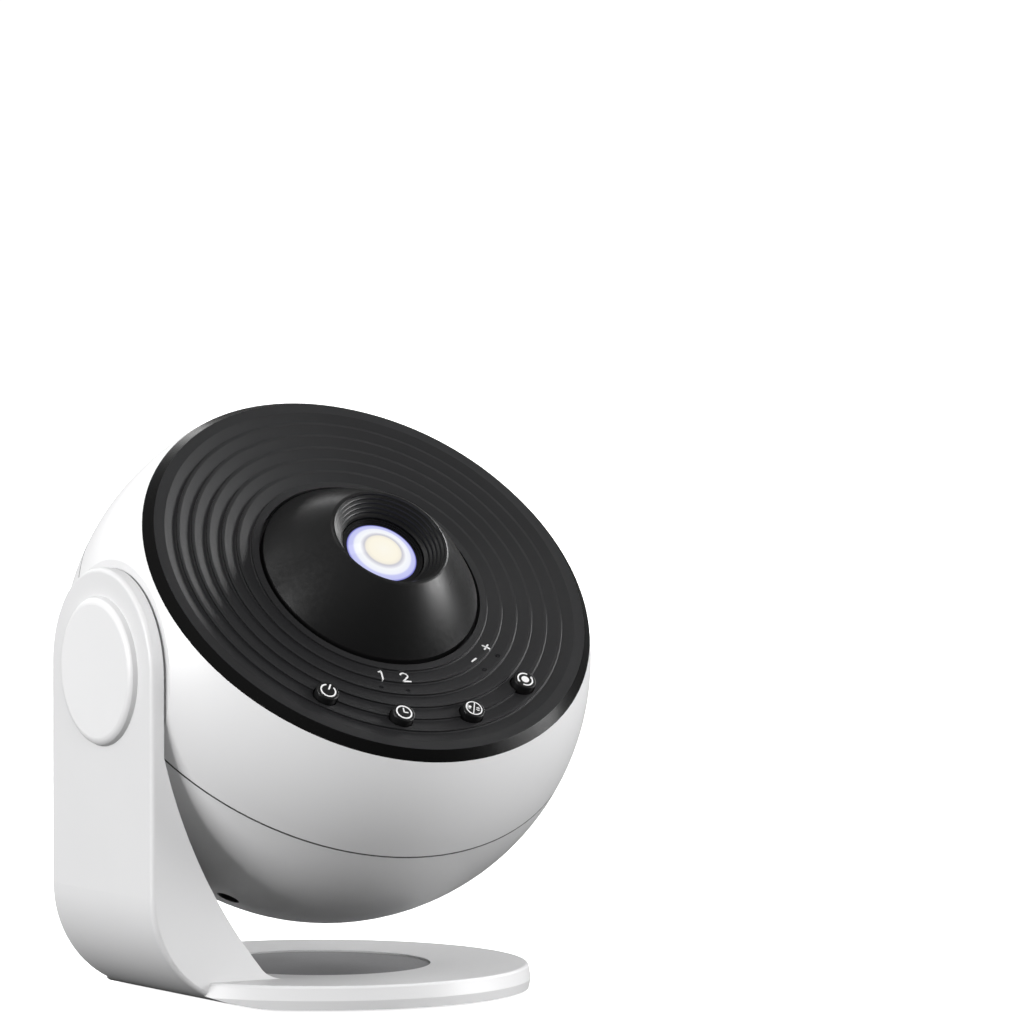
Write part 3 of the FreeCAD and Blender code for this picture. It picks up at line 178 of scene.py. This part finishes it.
def overlay(material, socket, mask, value):
    """Mix a colour or a number over what drives one of a material's sockets, by a mask."""
    tree = material.node_tree
    target = tree.nodes["Principled BSDF"].inputs[socket]
    under = target.links[0].from_socket
    mix = tree.nodes.new("ShaderNodeMix")
    mix.data_type = "RGBA" if isinstance(value, tuple) else "FLOAT"
    tree.links.new(mask, mix.inputs["Factor"])
    tree.links.new(under, mix.inputs["A"])
    mix.inputs["B"].default_value = value
    tree.links.new(mix.outputs["Result"], target)


def operate(tree, kind, operation, first, second=None):
    """The outputs of a number or vector operation on a socket and, if given, a constant."""
    node = tree.nodes.new(kind)
    node.operation = operation
    tree.links.new(first, node.inputs[0])
    if second is not None:
        node.inputs[1].default_value = second
    return node.outputs


def vector_math(tree, operation, first, second=None):
    """The outputs of a vector operation on a socket and, if given, a constant vector."""
    return operate(tree, "ShaderNodeVectorMath", operation, first, second)


# Masks that follow the head at rest


def from_centre(tree):
    """The vector from the ball's centre, in millimetres, to a point of the head at rest."""
    shift = vector_math(tree, "SUBTRACT", object_place(tree), BALL_CENTRE)["Vector"]
    return vector_math(tree, "MULTIPLY", shift, (1 / MM, 1 / MM, 1 / MM))["Vector"]


def axis_distance(tree, axis):
    """The distance, in millimetres, from a line through the ball's centre."""
    cross = vector_math(tree, "CROSS_PRODUCT", from_centre(tree), axis)["Vector"]
    return vector_math(tree, "LENGTH", cross)["Value"]


def seam_shade_mask(tree):
    """Painted shade: the narrow line where the two shells meet, darkened as if shadow filled the
    gap.
    """
    height = vector_math(tree, "DOT_PRODUCT", from_centre(tree), FACE_AXIS)["Value"]
    above = operate(tree, "ShaderNodeMath", "SUBTRACT", height, SEAM_HEIGHT)["Value"]
    away = operate(tree, "ShaderNodeMath", "ABSOLUTE", above)["Value"]
    return remap(tree, away, SEAM_CLEAR, SEAM_DARK)


# Materials. Each plastic has its darker and lighter colour, its roughness, its grain's cells per
# metre and depth in metres, and its specular level where that isn't 0.5.

WHITE = ((0.80, 0.80, 0.805), (0.83, 0.83, 0.835), 0.42, 2600, 0.000012)
PLASTICS = {
    "white_plastic": WHITE,
    "front_shell_plastic": WHITE,
    "rear_shell_plastic": WHITE,
    "stand_white_plastic": ((0.735, 0.735, 0.74), (0.765, 0.765, 0.77), 0.42, 2600, 0.000012),
    "plain_white_plastic": ((0.70, 0.70, 0.69), (0.74, 0.74, 0.73), 0.55, 1800, 0.00002),
    "button_plastic": ((0.006, 0.006, 0.0062), (0.008, 0.008, 0.0082), 0.36, 2600, 0.000004, 0.4),
    "panel_plastic": ((0.017, 0.017, 0.018), (0.021, 0.021, 0.022), 0.42, 3200, 0.000010, 0.34),
    "satin_black_plastic": ((0.006, 0.006, 0.0062), (0.008, 0.008, 0.0082), 0.34, 1800, 0.0000006),
    "inner_black_plastic": ((0.02, 0.02, 0.02), (0.03, 0.03, 0.03), 0.6, 2400, 0.00003),
    "grey_foam_rubber": ((0.20, 0.20, 0.205), (0.23, 0.23, 0.235), 0.75, 1500, 0.00008),
    "black_rubber": ((0.02, 0.02, 0.02), (0.035, 0.035, 0.035), 0.8, 1500, 0.00006),
    "natural_acetal": ((0.72, 0.71, 0.67), (0.78, 0.77, 0.73), 0.4, 2000, 0.00001),
    "smoked_clear_plastic": ((0.002, 0.002, 0.003), (0.004, 0.004, 0.005), 0.5, 2000, 0.00001, 0.2),
    "phosphor": ((0.75, 0.55, 0.10), (0.85, 0.65, 0.15), 0.4, 6000, 0.00002),
}
PLASTIC_COLOUR_CELLS, PLASTIC_GLOSS_CELLS = 45, 900
PLASTIC_GLOSS_DRIFT = 0.04

# Each metal has its colour and its roughness.

METALS = {
    "plated_steel": ((0.55, 0.56, 0.58), 0.32),
    "blackened_steel": ((0.03, 0.03, 0.032), 0.5),
    "machined_aluminium": ((0.68, 0.69, 0.71), 0.38),
}
METAL_COLOUR_CELLS, METAL_GLOSS_CELLS, SCRATCH_CELLS = 300, 2500, 5000
METAL_GLOSS_DRIFT = 0.08
METAL_LIGHTER = 1.1
SCRATCH_DEPTH = 0.00001

# Painted shade: the seam line's colour, as if shadow filled the gap between the shells.
SEAM_SHADE_COLOUR = (0.10, 0.10, 0.10, 1)
# Painted shade: the power inlet's white wall, darkened as the shade inside the hole.
INLET_SHADE_COLOUR = (0.006, 0.006, 0.006, 1)
# Painted shade: the stand's colour to bounced light only, dark so that little light bounces onto
# the ball's underside.
BOUNCE_SHADE_COLOUR = (0.15, 0.15, 0.15, 1)
# Painted shade: the panel's downward-facing bevel, nearly black; its roughness below is a real,
# glossier finish.
BEVEL_SHADE_COLOUR = (0.003, 0.003, 0.003, 1)
BEVEL_ROUGHNESS = 0.22

# The lit lens, as places from its middle to its edge and the colours there

LENS_GLOW = (
    (0.0, (1.0, 0.97, 0.86)),
    (0.40, (1.0, 0.95, 0.80)),
    (0.50, (0.93, 0.88, 0.76)),
    (0.55, (0.60, 0.60, 0.66)),
    (0.61, (0.78, 0.78, 0.84)),
    (0.66, (0.96, 0.98, 1.0)),
    (0.80, (0.90, 0.92, 1.0)),
    (0.85, (0.60, 0.62, 0.95)),
    (0.95, (0.55, 0.57, 0.92)),
    (1.0, (0.12, 0.12, 0.55)),
)

STAR_CELLS = 420
STAR_EDGE, STAR_CORE = 0.16, 0.10
TRACK_CELLS = 260
INK_SHADE = 0.88


def moulded(name, dark, light, roughness, grain, depth, specular=0.5):
    """Moulded plastic: faint colour drift, uneven gloss and a fine grain."""
    material, tree, shader = new_material(name, Specular_IOR_Level=specular)
    tint(tree, shader, noise(tree, PLASTIC_COLOUR_CELLS, 3), dark, light)
    gloss = noise(tree, PLASTIC_GLOSS_CELLS, 3)
    uneven_gloss(
        tree, shader, gloss, roughness - PLASTIC_GLOSS_DRIFT, roughness + PLASTIC_GLOSS_DRIFT)
    bump(tree, shader, noise(tree, grain, 2), depth)
    return material


def metal(name, colour, roughness):
    """Plated or machined metal with fine scratches."""
    material, tree, shader = new_material(name, Metallic=1.0)
    light = tuple(min(1.0, part * METAL_LIGHTER) for part in colour)
    tint(tree, shader, noise(tree, METAL_COLOUR_CELLS, 4), colour, light)
    gloss = noise(tree, METAL_GLOSS_CELLS, 2)
    uneven_gloss(tree, shader, gloss, roughness - METAL_GLOSS_DRIFT, roughness + METAL_GLOSS_DRIFT)
    bump(tree, shader, noise(tree, SCRATCH_CELLS, 2), SCRATCH_DEPTH)
    return material


def lit_lens(name):
    """The front lens with the lamp behind it: a warm centre, pale rings and a bluish edge."""
    material, tree, shader = new_material(
        name, Emission_Strength=0.95, Base_Color=(0.02, 0.02, 0.025, 1), Roughness=0.06,
        Specular_IOR_Level=0.25)
    ramp = tree.nodes.new("ShaderNodeValToRGB")
    radius = remap(tree, axis_distance(tree, FACE_AXIS), 0.0, LENS_RADIUS)
    tree.links.new(radius, ramp.inputs["Fac"])
    stops = ramp.color_ramp.elements
    for end in (0, -1):
        stops[end].position = LENS_GLOW[end][0]
        stops[end].color = (*LENS_GLOW[end][1], 1)
    for position, colour in LENS_GLOW[1:-1]:
        stops.new(position).color = (*colour, 1)
    tree.links.new(ramp.outputs["Color"], shader.inputs["Emission Color"])
    bump(tree, shader, noise(tree, 700, 1), 0.000004)
    return material


def glass(name):
    """Clear optical glass."""
    material, tree, shader = new_material(name, Transmission_Weight=1.0, IOR=1.5)
    tint(tree, shader, noise(tree, 60), (0.93, 0.95, 1.0), (0.97, 0.98, 1.0))
    uneven_gloss(tree, shader, noise(tree, 800), 0.01, 0.05)
    return material


def starry_film(name):
    """The film disc: deep blue with scattered generic stars."""
    material, tree, shader = new_material(name, Roughness=0.15)
    kind = "ShaderNodeTexVoronoi"
    cells = add_node(tree, kind, Vector=object_place(tree), Scale=STAR_CELLS)
    star = remap(tree, cells.outputs["Distance"], STAR_EDGE, STAR_CORE)
    tint(tree, shader, star, (0.02, 0.03, 0.16), (0.9, 0.92, 1.0))
    return material


def circuit_board(name):
    """Green solder mask with faint tracks."""
    material, tree, shader = new_material(name, Roughness=0.35)
    bricks = add_node(
        tree, "ShaderNodeTexBrick", Vector=object_place(tree), Scale=TRACK_CELLS,
        Color1=(0.01, 0.11, 0.05, 1), Color2=(0.012, 0.13, 0.06, 1), Mortar=(0.03, 0.22, 0.10, 1))
    tree.links.new(bricks.outputs["Color"], shader.inputs["Base Color"])
    bump(tree, shader, bricks.outputs["Fac"], 0.00002)
    return material


def printed(name, colour):
    """Screen-printed ink."""
    material, tree, shader = new_material(name)
    darker = tuple(part * INK_SHADE for part in colour)
    tint(tree, shader, noise(tree, 3000, 3), darker, colour)
    uneven_gloss(tree, shader, noise(tree, 4000, 2), 0.45, 0.6)
    return material


OTHERS = {
    "optical_glass": glass,
    "lit_lens": lit_lens,
    "starry_film": starry_film,
    "circuit_board": circuit_board,
}

# The nodes that have each material

FINISHES = {
    "stand_white_plastic": ("stand_shell",),
    "front_shell_plastic": ("front_shell",),
    "rear_shell_plastic": ("rear_shell",),
    "white_plastic": ("pivot_cap",),
    "plain_white_plastic": ("base_cover", "pivot_hub"),
    "panel_plastic": ("face_panel",),
    "button_plastic": ("power_button", "timer_button", "speed_button", "rotation_button"),
    "satin_black_plastic": ("focus_dome", "lens_barrel"),
    "inner_black_plastic": (
        "optics_housing", "lens_guide", "tactile_switches", "board_components", "power_socket"),
    "grey_foam_rubber": ("recess_pad",),
    "black_rubber": ("non_slip_pad",),
    "natural_acetal": ("friction_washer", "film_carrier", "drive_pinion"),
    "smoked_clear_plastic": ("indicator_lights",),
    "phosphor": ("led_emitter",),
    "plated_steel": (
        "base_weight", "base_screws", "pivot_spring", "pivot_retainer", "pivot_screw",
        "hub_screws", "panel_screws", "housing_screws", "heat_sink_screws", "motor_screws",
        "button_board_screws", "main_board_screws", "drive_motor", "motor_shaft"),
    "blackened_steel": ("shell_screws",),
    "machined_aluminium": ("led_board", "heat_sink"),
    "optical_glass": ("condenser_lens", "rear_lens"),
    "lit_lens": ("front_lens",),
    "starry_film": ("film_disc",),
    "circuit_board": ("button_board", "main_board"),
}


def make_materials():
    """Every material that FINISHES names, with the masks that belong to single pieces, which paint
    shade on the seam, the power inlet's wall, the stand's bounced light and the panel's bevel, and
    give the bevel a glossier finish.
    """
    materials = {name: moulded(name, *values) for name, values in PLASTICS.items()}
    materials |= {name: metal(name, *values) for name, values in METALS.items()}
    materials |= {name: make(name) for name, make in OTHERS.items()}
    # Painted shade: both shells darken along the seam, as if shadow filled the gap.
    for name in ("front_shell_plastic", "rear_shell_plastic"):
        shell = materials[name]
        overlay(shell, "Base Color", seam_shade_mask(shell.node_tree), SEAM_SHADE_COLOUR)
    # Painted shade: the rear shell turns near-black round the power inlet's axis, where the hole's
    # wall lies in shadow.
    rear = materials["rear_shell_plastic"]
    inlet_shade = axis_distance(rear.node_tree, INLET_AXIS)
    inlet_shade = remap(rear.node_tree, inlet_shade, INLET_CLEAR, INLET_DARK)
    overlay(rear, "Base Color", inlet_shade, INLET_SHADE_COLOUR)
    # Painted shade: to bounced light the stand is dark grey, which keeps the ball's underside and
    # the ball beside the arm in shade.
    stand = materials["stand_white_plastic"]
    bounce_shade = stand.node_tree.nodes.new("ShaderNodeLightPath").outputs["Is Diffuse Ray"]
    overlay(stand, "Base Color", bounce_shade, BOUNCE_SHADE_COLOUR)
    # Painted shade: the panel's bevel is darkened where it faces down and catches little light; its
    # lower roughness is a real glossy finish.
    panel = materials["panel_plastic"]
    bevel_shade_and_gloss = axis_distance(panel.node_tree, FACE_AXIS)
    bevel_shade_and_gloss = remap(panel.node_tree, bevel_shade_and_gloss, BEVEL_CLEAR, BEVEL_DARK)
    overlay(panel, "Base Color", bevel_shade_and_gloss, BEVEL_SHADE_COLOUR)
    overlay(panel, "Roughness", bevel_shade_and_gloss, BEVEL_ROUGHNESS)
    return materials


def finish_nodes():
    """Give every CAD node its finish."""
    materials = make_materials()
    for material, names in FINISHES.items():
        for name in names:
            data = nodes[name].data
            data.materials.clear()
            data.materials.append(materials[material])


# Printed marks and the dome's index line, draped on what carries them. They are drawn in
# millimetres, and their angles are in degrees.

INK_RISE = 0.02 * MM
INK_DEPTH = 0.03 * MM
DRAPE_HEIGHT = 80 * MM
CAP_TURNS = (30, 60, 85)
DISC_CHORDS = 12
ARROW_CHORDS = 4
ARROW_HALF_WIDTH = 0.75
BOLD, REGULAR, FINE = 0.46, 0.42, 0.2

# Each mark's circle about the face's middle and its place on it, its node and its body

MARKS = (
    ("power_symbol", 48.0, -126.75, "power_button", "power_key"),
    ("timer_symbol", 48.0, -102.25, "timer_button", "timer_key"),
    ("speed_symbol", 48.0, -77.75, "speed_button", "speed_key"),
    ("rotation_symbol", 48.0, -53.25, "rotation_button", "rotation_key"),
    ("timer_mark_1", 34.0, -106.9, "face_panel", "head"),
    ("timer_mark_2", 34.0, -96.1, "face_panel", "head"),
    ("rotation_mark_minus", 34.7, -58.2, "face_panel", "head"),
    ("rotation_mark_plus", 34.7, -47.3, "face_panel", "head"),
    ("dome_index", 0, 90, "focus_dome", "focus"),
)


def arc_points(x, y, radius, start, stop, count=24):
    """Evenly spaced points of an arc."""
    points = []
    for step in range(count + 1):
        turn = math.radians(start + (stop - start) * step / count)
        points.append((x + radius * math.cos(turn), y + radius * math.sin(turn)))
    return points


def line_points(start, stop, count=8):
    """Evenly spaced points of a straight line."""
    (x, y), (end_x, end_y) = start, stop
    return [
        (x + (end_x - x) * step / count, y + (end_y - y) * step / count)
        for step in range(count + 1)
    ]


def ribbon(points, width, closed=False):
    """Rows of the left, middle and right points of a stroke; an open one has round ends."""
    rows = []
    last = len(points) - 1
    for index, (x, y) in enumerate(points):
        before = points[index - 1] if index or closed else points[0]
        after = points[(index + 1) % len(points)] if index < last or closed else points[last]
        along = Vector((after[0] - before[0], after[1] - before[1])).normalized()
        side = Vector((-along.y, along.x)) * width / 2
        rows.append([(x + side.x, y + side.y), (x, y), (x - side.x, y - side.y)])
    if closed:
        return rows + rows[:1]
    for end, inner in ((0, 1), (last, last - 1)):
        outward = (Vector(points[end]) - Vector(points[inner])).normalized()
        side = Vector((-outward.y, outward.x))
        flip = 1 if end else -1
        caps = []
        for turn in CAP_TURNS:
            reach = outward * math.sin(math.radians(turn)) * width / 2
            half = side * math.cos(math.radians(turn)) * width / 2
            middle = Vector(points[end]) + reach
            caps.append([tuple(middle + half * flip), tuple(middle), tuple(middle - half * flip)])
        rows = rows + caps if end else caps[::-1] + rows
    return rows


def disc_rows(x, y, radius):
    """A filled dot as rows of chords."""
    rows = []
    for step in range(DISC_CHORDS + 1):
        height = math.cos(math.pi * step / DISC_CHORDS) * radius
        half = max(math.sqrt(max(radius ** 2 - height ** 2, 0)), radius * 0.02)
        rows.append([(x - half, y + height), (x, y + height), (x + half, y + height)])
    return rows


def arrow_rows(x, y, turn, size):
    """A small filled arrowhead that points along an angle."""
    along = Vector((math.cos(math.radians(turn)), math.sin(math.radians(turn))))
    side = Vector((-along.y, along.x))
    rows = []
    for step in range(ARROW_CHORDS + 1):
        share = step / ARROW_CHORDS
        middle = Vector((x, y)) + along * size * (1 - share)
        half = side * max(size * ARROW_HALF_WIDTH * share, 0.01)
        rows.append([tuple(middle + half), tuple(middle), tuple(middle - half)])
    return rows


def mark_drawings():
    """The strokes and dots of each mark, in the order of MARKS."""
    power = [
        ribbon(arc_points(0, 0, 1.95, 125, 415, 40), REGULAR),
        ribbon(line_points((0, 0.55), (0, 2.2)), REGULAR),
    ]
    hands = line_points((0, 1.3), (0, 0.0)) + line_points((0.05, -0.02), (1.0, -0.02))
    clock = [
        ribbon(arc_points(0, 0, 2.0, 0, 354, 59), REGULAR, closed=True),
        ribbon(hands, width=0.38),
    ]
    speed = [
        ribbon(arc_points(0, 0, 2.1, 0, 354, 59), width=0.32, closed=True),
        ribbon(line_points((-1.3, -1.65), (1.3, 1.65)), width=0.28),
        disc_rows(-0.85, 0.75, 0.42),
        ribbon(arc_points(-0.85, 0.75, 0.72, 100, 250, 12), width=0.15),
        ribbon(line_points((0.35, -0.55), (1.35, -0.55)), FINE),
        ribbon(line_points((0.45, -1.0), (1.1, -1.0)), FINE),
        ribbon(line_points((0.75, -0.12), (1.5, -0.12)), FINE),
    ]
    left_tip, right_tip = arc_points(0, 0, 1.95, 150, 330, 1)
    rotation = [
        disc_rows(0, 0, 1.05),
        ribbon(arc_points(0, 0, 1.95, 20, 150), width=0.4),
        ribbon(arc_points(0, 0, 1.95, 200, 330), width=0.4),
        arrow_rows(*left_tip, 240, 0.55),
        arrow_rows(*right_tip, 60, 0.55),
    ]
    flag = line_points((-0.7, 1.08), (0.06, 1.7), 4)
    one = [ribbon(flag + line_points((0.08, 1.62), (0.08, -1.7), 12), BOLD)]
    bowl = arc_points(0, 0.77, 0.97, 165, -35, 20)
    two = [
        ribbon(bowl + line_points((0.68, 0.06), (-0.96, -1.54), 10)[1:], BOLD),
        ribbon(line_points((-0.96, -1.54), (1.07, -1.54)), BOLD),
    ]
    minus = [ribbon(line_points((-0.9, 0), (0.9, 0)), BOLD)]
    plus = [
        ribbon(line_points((-1.0, 0), (1.0, 0)), BOLD),
        ribbon(line_points((0, -1.0), (0, 1.0)), BOLD),
    ]
    index = [ribbon(arc_points(0, 0, 19.0, 132, 155) + [(-17.05, -7.5)], width=0.24)]
    return power, clock, speed, rotation, one, two, minus, plus, index


def row_faces(start, count, width):
    """The faces of a sheet with a top and an underside, from its first vertex and its rows."""
    faces = []
    for row in range(count - 1):
        for column in range(width - 1):
            a = start + 2 * (row * width + column)
            b = a + 2 * width
            faces.append((a, a + 2, b + 2, b))
            faces.append((a + 1, b + 1, b + 3, a + 3))
        a = start + 2 * row * width
        b = a + 2 * width
        faces.append((a, b, b + 1, a + 1))
        a += 2 * (width - 1)
        b += 2 * (width - 1)
        faces.append((a, a + 1, b + 1, b))
    return faces


def add_mark(name, shapes, circle, angle, carrier, body, material):
    """Drape rows of points, drawn with up towards the face's middle, on a node."""
    turn = math.radians(angle)
    up = Vector((-math.cos(turn), -math.sin(turn)))
    right = Vector((up.y, -up.x))
    centre = Vector((math.cos(turn), math.sin(turn))) * circle
    source = nodes[carrier].data
    tree = BVHTree.FromPolygons(
        [vertex.co for vertex in source.vertices], [face.vertices[:] for face in source.polygons])
    verts, faces = [], []
    for rows in shapes:
        faces += row_faces(len(verts), len(rows), len(rows[0]))
        for u, v in (point for row in rows for point in row):
            spot = centre + right * u + up * v
            above = HEAD_FRAME @ Vector((spot.x * MM, spot.y * MM, DRAPE_HEIGHT))
            hit, normal, _, _ = tree.ray_cast(above, -FACE_AXIS)
            verts.append(hit + normal * INK_RISE)
            verts.append(hit - normal * INK_DEPTH)
    mesh = bpy.data.meshes.new(name)
    mesh.from_pydata(verts, [], faces)
    mesh.materials.append(material)
    mark = bpy.data.objects.new(name, mesh)
    bpy.context.scene.collection.objects.link(mark)
    shaped = bmesh.new()
    shaped.from_mesh(mesh)
    bmesh.ops.recalc_face_normals(shaped, faces=shaped.faces)
    shaped.to_mesh(mesh)
    shaped.free()
    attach(mark, body)


def add_marks():
    """The symbols on the buttons, the settings beside the indicators and the dome's line, a strip
    of painted shade.
    """
    ink = printed("white_ink", (0.88, 0.88, 0.88))
    # Painted shade: the dome's index line is a dark ink strip standing in for the shade in its
    # moulded groove.
    groove_shade_ink = printed("groove_shade_line", (0.002, 0.002, 0.002))
    for (name, circle, angle, carrier, body), shapes in zip(MARKS, mark_drawings()):
        material = groove_shade_ink if name == "dome_index" else ink
        add_mark(name, shapes, circle, angle, carrier, body, material)


# Floor and light, in metres and watts

FLOOR_HALF = 14.0
FLOOR_GLOW = 0.9
SKY_BOTTOM, SKY_TOP = -0.1, 0.25
SKY_STRENGTH = 0.15
LAMP_TARGET = (0, 0, 0.09)
LAMP_DISTANCE = 2.2

# Each lamp's azimuth, elevation, size, power, and whether it shows in gloss

LAMPS = {
    "front_left": (-20, 20, (1.0, 0.5), 16.3, False),
    "front_right": (20, 19, (1.0, 0.5), 19.6, False),
    "left": (-95, 10, (1.0, 0.5), 38.3, True),
    "right": (62, 10, (1.0, 0.5), 25.0, True),
    "back_left": (-130, 30, (1.0, 0.5), 9.5, True),
    "back_right": (100, 30, (1.0, 0.5), 17.0, True),
    "back": (180, 25, (1.4, 0.9), 11.0, True),
    "top": (0, 85, (1.0, 0.5), 3.7, True),
}


def add_floor():
    """A plain pale floor, which throws no light on the object."""
    mesh = bpy.data.meshes.new("floor")
    signs = ((-1, -1), (1, -1), (1, 1), (-1, 1))
    mesh.from_pydata([(x * FLOOR_HALF, y * FLOOR_HALF, 0) for x, y in signs], [], [(0, 1, 2, 3)])
    floor = bpy.data.objects.new("floor", mesh)
    bpy.context.scene.collection.objects.link(floor)
    material, tree, shader = new_material(
        "pale_floor", Roughness=0.9, Specular_IOR_Level=0.0, Emission_Color=(1, 1, 1, 1),
        Emission_Strength=FLOOR_GLOW)
    tint(tree, shader, noise(tree, 3), (0.93, 0.93, 0.93), (0.95, 0.95, 0.95))
    mesh.materials.append(material)
    floor.visible_diffuse = False
    floor.visible_glossy = False


def around(azimuth, elevation, distance):
    """A place round the object, with azimuth 0 on its front side and positive towards +X."""
    turn, lift = math.radians(azimuth), math.radians(elevation)
    flat = distance * math.cos(lift)
    height = LAMP_TARGET[2] + distance * math.sin(lift)
    return (flat * math.sin(turn), -flat * math.cos(turn), height)


def add_lamp(name, azimuth, elevation, size, power, glossy):
    """A soft rectangular lamp that looks at the object."""
    data = bpy.data.lights.new(name, "AREA")
    data.shape = "RECTANGLE"
    data.size, data.size_y = size
    data.energy = power
    lamp = bpy.data.objects.new(name, data)
    place = Vector(around(azimuth, elevation, LAMP_DISTANCE))
    lamp.location = place
    lamp.rotation_euler = (Vector(LAMP_TARGET) - place).to_track_quat("-Z", "Y").to_euler()
    lamp.visible_glossy = glossy
    bpy.context.scene.collection.objects.link(lamp)


def add_light():
    """A soft studio: lamps all round, the two in front without glare, and a dim sky above."""
    world = bpy.data.worlds.new("studio")
    bpy.context.scene.world = world
    world.use_nodes = True
    tree = world.node_tree
    background = tree.nodes["Background"]
    background.inputs["Color"].default_value = (1, 1, 1, 1)
    direction = tree.nodes.new("ShaderNodeTexCoord").outputs["Generated"]
    height = add_node(tree, "ShaderNodeSeparateXYZ", Vector=direction).outputs["Z"]
    level = remap(tree, height, SKY_BOTTOM, SKY_TOP, 0.0, SKY_STRENGTH)
    tree.links.new(level, background.inputs["Strength"])
    for name, values in LAMPS.items():
        add_lamp(name, *values)


bpy.context.scene.view_settings.view_transform = "Standard"
add_camera()
finish_nodes()
add_marks()
add_floor()
add_light()
